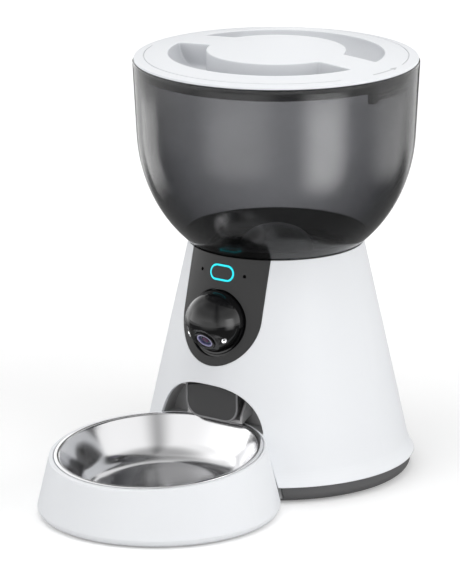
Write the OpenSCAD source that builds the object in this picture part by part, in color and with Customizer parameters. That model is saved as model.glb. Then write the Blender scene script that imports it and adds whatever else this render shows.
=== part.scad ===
// Automatic pet feeder with a camera: a cone body carries a smoked hopper, meters dry
// food with a rotor and drops it into a steel bowl that stands in a docking tray.
// Millimetres. The origin is on the floor under the body's axis, +Z is up, the front faces -Y.

/* [Body] */
// Radius of the body's cone, carried down to the floor
body_foot_r = 99.2; // [97:0.1:102]
// Width of the body's top rim outside the hopper
top_rim = 1.2; // [1:0.1:2]
// Height of the body's top rim
body_top_z = 166.8; // [166:0.1:168]
// Height of the white shell's lower edge
shell_bottom_z = 12.5; // [11:0.5:14]
// How far the lower edge flares out from the cone
flare_out = 2.6; // [1:0.1:4]
// Height over which the flare dies out
flare_h = 11.5; // [8:0.5:16]
// Wall of the shell
shell_wall = 2.6; // [2.2:0.1:3]
// How far the plinth stands back from the body's foot
plinth_inset = 2.9; // [2.2:0.1:4.2]
// Radius of the plinth's rounded lower edge
plinth_round = 5.3; // [3:0.1:6]
// Thickness of the base cover's floor
base_floor = 2.6; // [2.2:0.1:3.4]
// Height of the foot ring below the base cover
foot_h = 1.2; // [0.8:0.1:2]
// How far the foot ring's middle lies inside the body's foot
foot_ring_in = 25.2; // [23.2:0.1:28.2]
// Width of the foot ring
foot_ring_w = 8; // [5:0.5:9]
// How far the base screws lie inside the body's foot
base_screw_in = 15.2; // [14.2:0.1:16.2]

/* [Front panel] */
// Half width of the dark panel
panel_half_w = 33.5; // [31:0.1:35]
// Thickness of the panel
panel_t = 1.5; // [1.2:0.1:1.7]
// Width of the ledge that carries the panel
panel_ledge = 4; // [3:0.1:4.2]
// How far the feed button lies below the body's top rim
button_drop = 11.3; // [10.8:0.1:12.8]
// Length of the lit ring round the button
ring_l = 20.5; // [19:0.1:23]
// Height of the lit ring round the button
ring_h = 11.5; // [10.5:0.1:12]
// Width of the lit ring
ring_w = 1.3; // [1.1:0.1:1.7]
// Travel of the feed button
button_travel = 1; // [0.6:0.1:1.4]
// Distance of the microphone and the indicator from the middle
side_hole_x = 18.3; // [17:0.1:20]
// Radius of the microphone and indicator holes
side_hole_r = 1.2; // [0.8:0.1:1.4]

/* [Camera] */
// How far the ball's middle lies behind the panel's surface
camera_sink = 2.4; // [1.4:0.1:3.4]
// How far the ball's middle lies below the body's top rim
camera_drop = 45.8; // [44.4:0.1:46.8]
// Radius of the glossy hood
hood_r = 22.5; // [21.8:0.1:22.8]
// Wall of the hood
hood_wall = 1.2; // [1:0.1:1.6]
// Radius of the round opening in the panel
camera_hole_r = 24; // [23.6:0.1:25]
// Angle at which the lens looks down
lens_down = 36; // [30:1:40]
// Radius of the lens barrel
barrel_r = 8.2; // [7:0.1:8.6]
// Radius of the infrared lamps
lamp_r = 2; // [1.5:0.1:2.4]

/* [Outlet] */
// Half width of the arch at its base
arch_half_w = 46.5; // [45:0.1:48]
// Height at which the arch's curve starts
arch_base_z = 30; // [28:0.5:32]
// Height of the arch's crown
arch_top_z = 78.2; // [77:0.1:79]
// Depth of the arch behind the body's surface at its crown
arch_depth = 20.9; // [19.9:0.1:21.9]
// Wall of the outlet liner
liner_wall = 2; // [1.6:0.1:2.4]
// Half width of the guard flap
flap_half_w = 22.4; // [20:0.1:22.6]
// Height of the flap's lower edge
flap_bottom_z = 51.4; // [51.2:0.1:54]
// Thickness of the flap
flap_t = 2; // [1.6:0.1:2.4]
// Radius of the flap's lower corners
flap_corner_r = 11; // [8:0.5:12]
// Radius of the flap's pin
flap_pin_r = 1.1; // [0.9:0.1:1.2]

/* [Hopper] */
// Outer radius of the hopper at its top
hopper_r = 101; // [99.5:0.1:103]
// Height of the hopper above its seat
hopper_h = 134.5; // [128:0.5:143]
// Height of the hopper's curve above its seat
hopper_curve_h = 82.8; // [81:0.2:86]
// Outer radius of the hopper at its seat
hopper_seat_r = 54.6; // [54:0.1:55]
// How much the straight wall leans out, per millimetre of height
hopper_draft = 0.05; // [0.04:0.005:0.06]
// Roundness of the hopper's curve (2 is an ellipse)
hopper_power = 2.15; // [2.1:0.01:2.2]
// Wall of the hopper
hopper_wall = 2.5; // [2.2:0.1:2.8]
// How far the hopper's seat lies below the body's top rim
seat_drop = 4.8; // [4.4:0.1:5]
// How far the neck steps in from the hopper's seat
neck_step = 3; // [2.8:0.1:3.2]

/* [Lid] */
// How far the lid's edge stands back from the hopper's rim
lid_inset = 0.8; // [0:0.1:1.5]
// Thickness of the lid at its edge
lid_edge_h = 1.8; // [1.6:0.1:2.4]
// How far the middle of the lid rises above its edge
lid_crown = 6; // [5:0.1:7]
// Radius of the lid's rounded edge
lid_round = 0.9; // [0.6:0.1:1.2]
// Wall of the lid
lid_wall = 2.4; // [2:0.1:2.8]
// Inner radius of the finger wells
well_in_r = 49; // [46:0.5:52]
// Outer radius of the finger wells at the top
well_out_r = 76; // [72:0.5:79]
// Depth of the finger wells
well_depth = 19.5; // [16:0.5:21]
// Half width of the grip bar between the wells
grip_half_w = 14.5; // [12:0.5:18]
// Height of the dark ring under the lid
lid_ring_h = 8.4; // [7.8:0.1:9.4]
// Angle through which the lid turns to lock
lid_turn = 30; // [28:1:34]

/* [Feed drive] */
// Wall of the rotor pan
pan_wall = 2.4; // [2:0.1:2.6]
// Depth of the pan below the hopper's seat
pan_depth = 13.5; // [13:0.1:14]
// Number of rotor vanes
vane_count = 6; // [5:1:8]
// Thickness of a rotor vane
vane_t = 2.4; // [1.8:0.1:3]
// Radius of the rotor's dome
dome_r = 26; // [22:0.5:27]
// Height of the dome's top above the hopper's seat
dome_rise = 15; // [8:0.5:17]
// Radius of the output shaft
shaft_r = 3; // [2.5:0.1:3.4]
// Module of the gears
gear_module = 0.9; // [0.88:0.01:0.92]
// Teeth of the drive gear
gear_teeth = 36; // [33:1:39]
// Teeth of the motor pinion
pinion_teeth = 12; // [11:1:14]
// Radius of the drive motor
motor_r = 12; // [10:0.5:13]
// Length of the drive motor
motor_l = 36; // [30:1:45]

/* [Bowl tray] */
// How far the docked tray reaches inside the body's foot
dock_depth = 46.1; // [45.1:0.1:46.6]
// Largest radius of the tray
tray_r = 84.4; // [83.5:0.1:84.8]
// Height of the largest radius
tray_round = 6; // [5:0.1:7]
// How much the tray's wall leans in, per millimetre of height
tray_lean = 0.234; // [0.225:0.001:0.24]
// Wall of the tray
tray_wall = 2.4; // [2:0.1:2.8]
// Height of the bowl's rim at the tray's axis
rim_z = 44.6; // [44:0.1:45]
// Angle at which the bowl leans to the front
rim_tilt = 4.5; // [4:0.1:4.8]
// How far the bowl's flange lies inside the tray's rim
flange_in = 2.8; // [2.4:0.1:3.4]
// Width of the bowl's flange outside its mouth
flange_w = 4.2; // [3.6:0.1:4.8]
// How far the bowl's flat floor lies inside its mouth
bowl_taper = 29; // [27:0.1:31]
// Depth of the bowl
bowl_depth = 27; // [24:0.5:30]
// Thickness of the bowl's steel
steel_t = 0.8; // [0.6:0.1:1]

/* [Fits] */
// Gap between pieces that run or slide past each other
run_gap = 0.4; // [0.3:0.05:0.5]
// Gap between fixed pieces that fit into each other
seat_gap = 0.2; // [0.1:0.05:0.3]
// Radial gap of a shaft or pin in its hole
shaft_gap = 0.05; // [0.03:0.01:0.08]
// Gap between the tray and its dock
dock_gap = 0.8; // [0.6:0.1:1]
// Gap between the turning camera parts
ball_gap = 0.4; // [0.3:0.05:0.5]

/* [Hidden] */
$fn = 96;

// Colours
white = [0.94, 0.945, 0.955];
dark = [0.2, 0.2, 0.205];
black = [0.03, 0.03, 0.033];
rubber = [0.09, 0.09, 0.09];
smoke = [0.25, 0.25, 0.27, 0.55];
steel = [0.75, 0.76, 0.77];
brass = [0.78, 0.62, 0.3];
cyan = [0, 0.85, 0.95];
board_green = [0.05, 0.3, 0.16];
cut = 1;

// Hopper: a superellipse that turns into a leaning straight wall, drawn inset from the outside
hopper_seat_z = body_top_z - seat_drop;
hopper_top_z = hopper_seat_z + hopper_h;
hopper_turn_z = hopper_seat_z + hopper_curve_h;
hopper_bands = 26;
function hopper_curve(u) = pow(1 - pow(min(u, 1), hopper_power), 1 / hopper_power);
// The curve's height is such that the hopper has its set radius at the seat
hopper_span = hopper_curve_h / hopper_curve((hopper_seat_r + hopper_draft * hopper_h) / hopper_r);
function hopper_u(z, inset) = max(hopper_turn_z - z, 0) / (hopper_span - inset);
function hopper_r_at(z, inset) =
    (hopper_r - inset) * hopper_curve(hopper_u(z, inset)) - hopper_draft * (hopper_top_z - z);
function hopper_line(z0, z1, inset) = [
    for (i = [0:hopper_bands])
        let (t = i / hopper_bands, z = z0 + (z1 - z0) * t * t)
        [hopper_r_at(z, inset), z]
];

// The body's cone
body_top_r = hopper_r_at(body_top_z, 0) + top_rim;
slope = (body_foot_r - body_top_r) / body_top_z;
lean = atan(slope);
flare_top_z = shell_bottom_z + flare_h;
flare_bands = 6;
function cone_r(z) = body_foot_r - slope * z;
function flare(z) = flare_out * pow(max(flare_top_z - z, 0) / flare_h, 2);
function shell_r(z) = cone_r(z) + flare(z);

// A solid cone whose wall lies inset inside the body's cone
module cone_solid(inset, z0, z1)
    translate([0, 0, z0]) cylinder(h = z1 - z0, r1 = cone_r(z0) - inset, r2 = cone_r(z1) - inset);

// Places its children on the panel's surface, local Z out of the panel and local Y up its slope
module on_panel(z) translate([0, -cone_r(z), z]) rotate([90 - lean, 0, 0]) children();

// A prism through the front of the body, from a drawing in X and Z
module front_prism(y_near, y_far)
    translate([0, -y_near, 0]) rotate([90, 0, 0]) linear_extrude(y_far - y_near) children();

module pill(l, h, depth) {
    translate([0, 0, -depth]) linear_extrude(depth + panel_t) {
        square([l - h, h], center = true);
        for (side = [-1, 1])
            translate([side * (l - h) / 2, 0]) circle(d = h);
    }
}

module ring_sector(r0, r1, z0, z1, from, span)
    rotate(from) rotate_extrude(angle = span) translate([r0, z0]) square([r1 - r0, z1 - z0]);

// Base
plinth_r = body_foot_r - plinth_inset;
foot_ring_r = body_foot_r - foot_ring_in;
base_screw_r = body_foot_r - base_screw_in;
base_z = foot_h;
base_top_z = base_z + base_floor;
lip_h = 4.5;
plinth_top_z = shell_bottom_z - seat_gap;
lip_r = shell_r(shell_bottom_z + lip_h) - shell_wall - 2 * seat_gap;
lip_wall = 2.4;
base_screw_angles = [40, 140, 215, 325];
boss_r = 4;
boss_top_z = 40;
base_screw_shank_r = 1.5;
base_screw_head_r = 3;
base_screw_head_h = 1.5;
base_screw_l = 12;
base_screw_spare = 2;
boss_rib_w = 2;
boss_rib_gap = 1;
foot_seat = 0.8;
screw_sink = 0.3;

// Front panel and button
button_z = body_top_z - button_drop;
camera_z = body_top_z - camera_drop;
camera_y = cone_r(camera_z) - camera_sink;
panel_round_up = 3.8;
panel_round_z = camera_z + panel_round_up;
recess_depth = panel_t + seat_gap / 2;
cap_l = ring_l - 2 * ring_w - 2 * seat_gap;
cap_h = ring_h - 2 * ring_w - 2 * seat_gap;
cap_proud = 0.2;
cap_depth = 3.2;
ring_depth = 2.6;
cap_flange_t = 1.2;
cap_flange_back = cap_flange_t + seat_gap - cap_depth + ring_depth;
switch_h = 2.2;
switch_gap = 0.2;
switch_w = 4.5;
button_board_t = 1.2;
button_board_h = 7;
board_depth = cap_depth + cap_flange_back + button_travel + switch_gap + switch_h;
side_part_rim = 1.2;
side_part_r = side_hole_r + side_part_rim;
// How far the curved panel falls back from its tangent plane, at a distance from the middle
function panel_fall(x, z) = cone_r(z) - sqrt(pow(cone_r(z), 2) - x * x);
board_fall = board_depth - panel_t - 2 * seat_gap;
button_board_l = 2 * sqrt(2 * cone_r(button_z) * board_fall - board_fall * board_fall);
side_part_l = board_depth - panel_fall(side_hole_x + side_part_r, button_z) - panel_t - seat_gap;

// Camera
head_r = hood_r - hood_wall - ball_gap;
socket_gap = 0.5;
socket_r = hood_r + socket_gap;
socket_wall = 2;
lens_flat = 3.4;
lens_face = head_r - lens_flat;
barrel_seat = 0.8;
barrel_l = 5;
barrel_lip = 1;
lens_bore_l = 2;
lens_r = barrel_r * 0.4;
hood_edge_drop = 0.5;
hood_steps = 40;
tilt_pin_r = 1.4;
tilt_pin_l = 2;
hood_pole = acos(tilt_pin_r / 2 / hood_r);
pan_shaft_r = 1.2;
pan_cap_r = 6;
pan_motor_r = 4;
pan_motor_wall = 1.2;
pan_motor_gap = 1;
pan_motor_z = arch_top_z + liner_wall + pan_motor_gap;
pan_motor_top_wall = 1.6;
pan_motor_h = camera_z - socket_r - socket_wall - pan_motor_top_wall - pan_motor_z;
pan_shaft_z = pan_motor_z + pan_motor_h / 2 + pan_motor_gap;
lamp_side = 46;
lamp_l = 2.4;
lamp_sink = 0.1;

// Outlet
sill_rise = 3.6;
dock_rise = 6;
sill_z = rim_z + sill_rise;
dock_top_z = sill_z + dock_rise;
arch_back_y = cone_r(arch_top_z) - arch_depth;
arch_power = 2.5;
arch_step = 5;
chute_half_w = 22;
chute_wall = 1.8;
chute_gap = 1;
throat_front_y = camera_y - socket_r - socket_wall - chute_wall - chute_gap;
throat_back_y = (gear_teeth / 2 + 1) * gear_module + chute_wall + 2 * chute_gap;
chute_top_gap = 0.1;
flap_sink = 6.3;
flap_y = cone_r(arch_top_z) - flap_sink;
flap_top_gap = 2.4;
flap_pin_drop = 5.2;
flap_pin_z = arch_top_z - flap_pin_drop;
flap_pin_y = flap_y - flap_t;
flap_knuckle_wall = 0.7;
flap_knuckle_r = flap_pin_r + flap_knuckle_wall;
flap_knuckle_gap = 0.5;
flap_knuckle_l = 2 * (flap_half_w - flap_knuckle_gap);
chute_bend_z = camera_z - socket_r;
chute_back_rise = 14;
chute_back_z = chute_bend_z + chute_back_rise;
chute_lip_gap = 1.6;
chute_lip_y = flap_y - flap_t / 2 - chute_lip_gap;
chute_lip_rise = 1.5;
chute_lip_z = flap_bottom_z + chute_lip_rise;
chute_roof_drop = 3.4;
chute_roof_z = arch_top_z - chute_roof_drop;
chute_side_h = 3;
chute_knee_in = 8;
chute_knee_y = arch_back_y - chute_knee_in;
chute_knee_rise = 13;
chute_knee_z = chute_lip_z + chute_knee_rise;
chute_sill_rise = 4.5;
chute_sill_z = chute_lip_z + chute_sill_rise;
function arch_half_at(z, grow) =
    (arch_half_w + grow)
    * pow(1 - pow((z - arch_base_z) / (arch_top_z + grow - arch_base_z), arch_power), 1 / arch_power);
flap_pin_half_l = arch_half_at(flap_pin_z, liner_wall / 2);

// Feed drive
pan_floor_t = 2;
pan_floor_z = hopper_seat_z - pan_depth;
pan_under_z = pan_floor_z - pan_floor_t;
neck_wall = 2.4;
neck_r = hopper_seat_r - neck_step - neck_wall;
neck_h = 5;
neck_bottom_z = hopper_seat_z - neck_h;
pan_r = neck_r - seat_gap;
neck_gap = 0.6;
pan_step_z = neck_bottom_z - neck_gap;
pan_socket_r = neck_r + neck_wall + run_gap;
pan_flange_t = 2.1;
pan_flange_r = cone_r(hopper_seat_z) - shell_wall - 2 * seat_gap;
ledge_h = 2.4;
ledge_w = 3.6;
ledge_in_r = pan_flange_r - ledge_w;
pan_screw_in = 2.4;
pan_screw_r = pan_flange_r - pan_screw_in;
pan_screw_head_r = 1.9;
pan_screw_head_h = 1.2;
pan_screw_shank_r = 1;
pan_screw_l = 5.5;
drop_half_angle = 26;
drop_in_r = throat_back_y / cos(drop_half_angle);
drop_out_r = throat_front_y;
rotor_gap = 0.7;
rotor_r = pan_r - 2 * run_gap;
rotor_z = pan_floor_z + rotor_gap;
rotor_hub_r = 9;
vane_drop = 1.2;
vane_top_z = hopper_seat_z - vane_drop;
dome_top_z = hopper_seat_z + dome_rise;
shaft_rise = 5;
shaft_top_z = vane_top_z + shaft_rise;
shaft_end_gap = 0.2;
dome_skirt = 2;
gear_h = 6;
gear_drop = 2.5;
gear_top_z = pan_under_z - gear_drop;
gear_z = gear_top_z - gear_h;
gear_distance = (gear_teeth + pinion_teeth) / 2 * gear_module;
tooth_backlash = 0.2;
tooth_height = 0.8;
tooth_clearance = 0.3;
pressure_angle = 20;
gear_plate_t = 2.4;
gear_plate_gap = 1.6;
gear_plate_top_z = gear_z - gear_plate_gap;
gear_plate_z = gear_plate_top_z - gear_plate_t;
plate_post_r = 3.2;
plate_post_x = 21;
plate_front_y = -9;
motor_step = 1;
plate_back_y = gear_distance + motor_r - motor_step;
bush_r = 5;
bush_flange_r = 7;
bush_flange_t = 1.4;
motor_shaft_r = 1.5;
motor_shaft_l = 5;
motor_head_l = motor_l * 0.4;
motor_end_r = 3;
motor_end_l = 2;

// Electronics
board_l = 80;
board_w = 56;
board_t = 1.6;
board_y = 28;
board_rise = 8;
board_z = base_top_z + board_rise;
board_post_r = 3;
board_post_in = 5;
board_post_x = board_l / 2 - board_post_in;
board_post_dy = board_w / 2 - board_post_in;
board_screw_r = 1.2;
board_screw_head_r = 2.4;
board_screw_head_h = 1.6;
radio_at = [-30, -8, 0];
radio_size = [18, 16, 3];
chip_at = [-4, -5, 0];
chip_size = [10, 10, 1.4];
plug_x = 14;
plug_ys = [-20, 12];
plug_size = [14, 6, 6];
capacitor_x = 24;
capacitor_r = 4;
capacitor_h = 9;
speaker_z = 70;
speaker_r = 14;
speaker_h = 6;
speaker_tube_wall = 2;
speaker_in = 14.6;
speaker_back_y = cone_r(speaker_z + speaker_r) - speaker_in;
speaker_ledge = 1;
magnet_l = 4;
cone_depth = 2;
grille_hole_r = 1.1;
grille_pitch = 6;
socket_z = 25;
inlet_r = 5;
inlet_l = 13;
inlet_bore_r = 2.9;
inlet_bore_l = 9.5;
inlet_pin_r = 1;
inlet_pin_sink = 2;

// Bayonet lugs and funnel in the hopper
lug_count = 2;
lug_h = 2.6;
lug_reach = 3.2;
hopper_lug_span = 24;
hopper_lug_top_z = hopper_top_z - lid_ring_h + seat_gap - run_gap;
funnel_t = 1.8;
funnel_rise = 1;
funnel_h = 10;
funnel_z = hopper_seat_z + funnel_rise;
funnel_top_z = funnel_z + funnel_h;
funnel_gap = 0.3;
baffle_t = 1.8;
baffle_gap = 2;
baffle_in_r = dome_r + baffle_gap;
baffle_half_angle = 34;

// Lid
lid_r = hopper_r - lid_inset;
lid_gap = 0.3;
lid_z = hopper_top_z + lid_gap;
lid_top_z = lid_z + lid_edge_h + lid_crown;
lid_crown_power = 2.6;
// Height of the lid's crowned face at a radius
function lid_top_at(r) = lid_top_z - lid_crown * pow(r / lid_r, lid_crown_power);
lid_inner_r = hopper_r_at(hopper_top_z - lid_ring_h, hopper_wall);
lid_ring_r = lid_inner_r - 1.5 * run_gap;
lid_ring_wall = 2.5;
lid_ring_z = hopper_top_z - lid_ring_h + seat_gap;
lid_flange_t = 1.8;
lid_skirt_r = lid_ring_r - lid_ring_wall - seat_gap;
lid_skirt_wall = 2.4;
lid_lug_center = 4.5;
lid_lug_span = 26;
lid_lug_z = hopper_lug_top_z - 2 * lug_h - run_gap;
seal_h = 2.4;
seal_t = 1.9;
seal_rise = 3;
seal_z = lid_ring_z + seal_rise;
seal_gap = 0.1;
seal_proud = 0.3;
seal_in_r = lid_ring_r + seal_proud - seal_t;
groove_in = 7.2;
groove_r = lid_r - groove_in;
groove_w = 0.7;
groove_depth = 0.4;
groove_from = 197;
groove_span = 137;
well_floor_w = 13;
stop_span = 2.5;
stop_drop = 2;

// Bowl and tray
tray_y = body_foot_r + tray_r - dock_depth;
tray_foot_h = 1;
tray_foot_r = 5;
tray_foot_in = 14;
tray_foot_at = tray_r - tray_foot_in;
pad_rim = 1;
pad_t = 2;
pad_l = 40;
tray_rise = 20;
tray_top_z = rim_z + tray_rise;
rim_inset = 0.9;
flange_seat = 0.6;
flange_gap = 0.8;
flange_gap_depth = 1.2;
function tray_r_at(z) = tray_r - tray_lean * (z - tray_round);
bowl_r = tray_r_at(rim_z) - flange_in;
rim_front_r = tray_r_at(rim_z) / (cos(rim_tilt) - tray_lean * sin(rim_tilt));
mouth_r = bowl_r - flange_w;
bowl_floor_r = mouth_r - bowl_taper;
bowl_bend_r = 22;
bowl_lip_r = 2;
bowl_gap = 0.25;
// Inner line of the bowl from its floor to its flange, in the tilted frame
bend_to_lip = [bowl_taper + bowl_lip_r, bowl_depth - bowl_bend_r + steel_t - bowl_lip_r];
wall_turn = atan2(bend_to_lip.y, bend_to_lip.x) + asin((bowl_bend_r + bowl_lip_r) / norm(bend_to_lip));
bend_steps = 12;
function bowl_bend(off) = [
    for (i = [0:bend_steps])
        let (t = wall_turn * i / bend_steps)
        [bowl_floor_r + (bowl_bend_r + off) * sin(t),
         -bowl_depth + bowl_bend_r - (bowl_bend_r + off) * cos(t)]
];
function bowl_lip(off) = [
    for (i = [0:bend_steps])
        let (t = wall_turn * (1 - i / bend_steps), r = bowl_lip_r - off)
        [mouth_r + bowl_lip_r - r * sin(t), steel_t - bowl_lip_r + r * cos(t)]
];

// Places its children in the tilted frame of the bowl, Z = 0 on the tray's rim
module in_bowl() translate([0, -tray_y, rim_z]) rotate([rim_tilt, 0, 0]) children();

// Everything below the tilted plane of the tray's rim, drop under it
module under_rim(drop)
    in_bowl() translate([0, 0, -body_foot_r - drop]) cylinder(h = body_foot_r, r = 2 * tray_r);

module arch_outline(grow) {
    half_w = arch_half_w + grow;
    rise = arch_top_z + grow - arch_base_z;
    intersection() {
        polygon([
            for (t = [0:arch_step:180])
                [sign(cos(t)) * half_w * pow(abs(cos(t)), 2 / arch_power),
                 arch_base_z + rise * pow(sin(t), 2 / arch_power)]
        ]);
        translate([-half_w, sill_z - grow]) square([2 * half_w, rise]);
    }
}

// Room in the body for the docked tray and the arch above it
module dock_space(grow) {
    r_low = tray_r + dock_gap + grow;
    r_high = tray_r_at(dock_top_z) + dock_gap + grow;
    translate([0, -tray_y, 0]) rotate_extrude() polygon([
        [0, -cut], [r_low, -cut], [r_low, tray_round], [r_high, dock_top_z], [0, dock_top_z]
    ]);
    front_prism(arch_back_y - grow, 2 * body_foot_r) arch_outline(grow);
}

module panel_outline(grow) {
    half_w = panel_half_w + grow;
    translate([0, panel_round_z]) circle(r = half_w);
    translate([-half_w, panel_round_z]) square([2 * half_w, body_top_z + cut - panel_round_z]);
}

// The front layer of the body's cone, from depth inside it to proud outside it
module front_layer(depth, proud) {
    difference() {
        cone_solid(-proud, shell_bottom_z, body_top_z);
        cone_solid(depth, shell_bottom_z - cut, body_top_z + cut);
        translate([-body_foot_r * 2, 0, 0]) cube(body_foot_r * 4);
    }
}

module hopper_room(gap) {
    line = hopper_line(hopper_seat_z, body_top_z + cut, 0);
    rotate_extrude() polygon(concat(
        [[0, hopper_seat_z]], [for (p = line) [p.x + gap, p.y]], [[0, body_top_z + cut]]
    ));
}

module shell_blank(inset, z0, z1) {
    zs = [for (i = [0:flare_bands]) z0 + (flare_top_z - z0) * i / flare_bands];
    rotate_extrude() polygon(concat(
        [[0, z0]], [for (z = zs) [shell_r(z) - inset, z]], [[cone_r(z1) - inset, z1], [0, z1]]
    ));
}

module at_base_screws()
    for (a = base_screw_angles)
        rotate(a) translate([base_screw_r, 0, 0]) children();

module at_pan_screws()
    for (a = [45:90:315])
        rotate(a) translate([pan_screw_r, 0, 0]) children();

module shell_bosses() {
    intersection() {
        at_base_screws() {
            translate([0, 0, base_top_z]) cylinder(h = boss_top_z - base_top_z, r = boss_r);
            translate([0, -boss_rib_w / 2, shell_bottom_z + lip_h + boss_rib_gap])
                cube([body_foot_r, boss_rib_w, boss_top_z - shell_bottom_z - lip_h - boss_rib_gap]);
        }
        shell_blank(shell_wall / 2, 0, body_top_z);
    }
}

module shell_ledge() {
    ledge_top = hopper_seat_z - pan_flange_t;
    difference() {
        intersection() {
            ring_sector(ledge_in_r, body_foot_r, ledge_top - ledge_h, ledge_top, 0, 360);
            shell_blank(shell_wall / 2, 0, body_top_z);
        }
        front_prism(0, body_foot_r) translate([-panel_half_w + panel_ledge, 0])
            square([2 * (panel_half_w - panel_ledge), body_top_z]);
    }
}

module grille_holes() {
    translate([0, 0, speaker_z]) rotate([-90, 0, 0]) {
        cylinder(h = body_foot_r, r = grille_hole_r, $fn = 24);
        for (a = [0:60:300])
            rotate(a) translate([grille_pitch, 0, 0]) cylinder(h = body_foot_r, r = grille_hole_r, $fn = 24);
    }
}

module speaker_tube() {
    intersection() {
        translate([0, speaker_back_y, speaker_z]) rotate([-90, 0, 0]) difference() {
            cylinder(h = body_foot_r, r = speaker_r + seat_gap + speaker_tube_wall);
            translate([0, 0, -cut]) cylinder(h = body_foot_r + 2 * cut, r = speaker_r + seat_gap);
        }
        shell_blank(shell_wall / 2, 0, body_top_z);
    }
}

module body_shell() color(white) {
    difference() {
        union() {
            difference() {
                shell_blank(0, shell_bottom_z, body_top_z);
                shell_blank(shell_wall, shell_bottom_z - cut, body_top_z + cut);
            }
            shell_bosses();
            shell_ledge();
            speaker_tube();
        }
        dock_space(0);
        hopper_room(run_gap);
        intersection() {
            front_prism(0, 2 * body_foot_r) panel_outline(seat_gap);
            front_layer(recess_depth, cut);
        }
        front_prism(0, 2 * body_foot_r) panel_outline(-panel_ledge);
        grille_holes();
        translate([0, 0, socket_z]) rotate([-90, 0, 0])
            cylinder(h = 2 * body_foot_r, r = inlet_r + seat_gap);
        at_base_screws() translate([0, 0, base_top_z - cut])
            cylinder(h = base_screw_l, r = base_screw_shank_r + shaft_gap, $fn = 32);
        at_pan_screws() translate([0, 0, hopper_seat_z - pan_screw_l - cut])
            cylinder(h = pan_screw_l + cut, r = pan_screw_shank_r + shaft_gap, $fn = 32);
    }
}

module base_cover() color(dark) {
    round_steps = 6;
    difference() {
        union() {
            rotate_extrude() polygon(concat(
                [[0, base_z]],
                [for (i = [0:round_steps])
                    let (t = 90 * i / round_steps)
                    [plinth_r - plinth_round * (1 - sin(t)), base_z + plinth_round * (1 - cos(t))]],
                [[plinth_r, plinth_top_z], [lip_r, plinth_top_z],
                 [lip_r, plinth_top_z + lip_h], [lip_r - lip_wall, plinth_top_z + lip_h],
                 [lip_r - lip_wall, base_top_z], [0, base_top_z]]
            ));
            at_board_posts() translate([0, 0, base_z + base_floor / 2])
                cylinder(h = board_z - base_z - base_floor / 2, r = board_post_r);
        }
        dock_space(0);
        intersection() {
            dock_space(liner_wall + seat_gap);
            translate([0, 0, base_top_z]) cylinder(h = body_top_z, r = 2 * body_foot_r);
        }
        ring_sector(foot_ring_r - foot_ring_w / 2 - seat_gap, foot_ring_r + foot_ring_w / 2 + seat_gap,
            base_z - cut, base_z + foot_seat, 0, 360);
        at_base_screws() {
            translate([0, 0, base_z - cut])
                cylinder(h = base_floor + 2 * cut, r = base_screw_shank_r + seat_gap, $fn = 32);
            translate([0, 0, base_z - cut])
                cylinder(h = base_screw_head_h + cut, r = base_screw_head_r + seat_gap, $fn = 32);
            translate([0, 0, base_top_z])
                cylinder(h = boss_top_z, r = boss_r + seat_gap);
        }
        at_board_posts() translate([0, 0, base_top_z])
            cylinder(h = board_z, r = board_screw_r + shaft_gap, $fn = 32);
        translate([0, 0, socket_z]) rotate([-90, 0, 0])
            cylinder(h = 2 * body_foot_r, r = inlet_r + 2 * seat_gap);
    }
}

module foot_ring() color(rubber) {
    difference() {
        ring_sector(foot_ring_r - foot_ring_w / 2, foot_ring_r + foot_ring_w / 2,
            0, base_z + foot_seat, 0, 360);
        dock_space(2 * seat_gap);
    }
}

module base_screws() color(steel) at_base_screws() {
    translate([0, 0, base_z + screw_sink]) {
        cylinder(h = base_screw_head_h - screw_sink, r = base_screw_head_r, $fn = 32);
        cylinder(h = base_screw_l - base_screw_spare, r = base_screw_shank_r, $fn = 32);
    }
}

module front_panel() color(dark) {
    difference() {
        intersection() {
            front_prism(0, 2 * body_foot_r) panel_outline(0);
            front_layer(panel_t, 0);
        }
        hopper_room(run_gap);
        on_panel(camera_z) cylinder(h = 2 * camera_hole_r, r = camera_hole_r, center = true);
        on_panel(button_z) pill(ring_l + 2 * seat_gap, ring_h + 2 * seat_gap, ring_depth);
        for (side = [-1, 1])
            on_panel(button_z) translate([side * side_hole_x, 0, -board_depth])
                cylinder(h = 2 * board_depth, r = side_hole_r, $fn = 24);
    }
}

module button_light_ring() color(cyan) {
    intersection() {
        on_panel(button_z) difference() {
            pill(ring_l, ring_h, ring_depth);
            pill(ring_l - 2 * ring_w, ring_h - 2 * ring_w, ring_depth + cut);
        }
        cone_solid(-cap_proud / 2, shell_bottom_z, body_top_z);
    }
}

module feed_button() color(dark) {
    intersection() {
        on_panel(button_z) union() {
            pill(cap_l, cap_h, cap_depth);
            pill_flange();
        }
        cone_solid(-cap_proud, shell_bottom_z, body_top_z);
    }
}

// Flange that keeps the cap behind the lit ring
module pill_flange()
    translate([0, 0, -ring_depth - seat_gap - cap_flange_t]) linear_extrude(cap_flange_t)
        square([ring_l - ring_h, ring_h - 2 * seat_gap], center = true);

module button_board() color(board_green) {
    on_panel(button_z) translate([0, 0, -board_depth]) {
        translate([0, 0, -button_board_t / 2])
            cube([button_board_l, button_board_h, button_board_t], center = true);
        translate([-switch_w / 2, -switch_w / 2, 0]) cube([switch_w, switch_w, switch_h]);
    }
}

// Small round part behind a panel hole
module side_part(side) on_panel(button_z) translate([side * side_hole_x, 0, -board_depth])
    cylinder(h = side_part_l, r = side_part_r, $fn = 32);

module microphone() color(black) side_part(1);

module status_lamp() color(cyan) side_part(-1);

module at_camera() translate([0, -camera_y, camera_z]) children();

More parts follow.
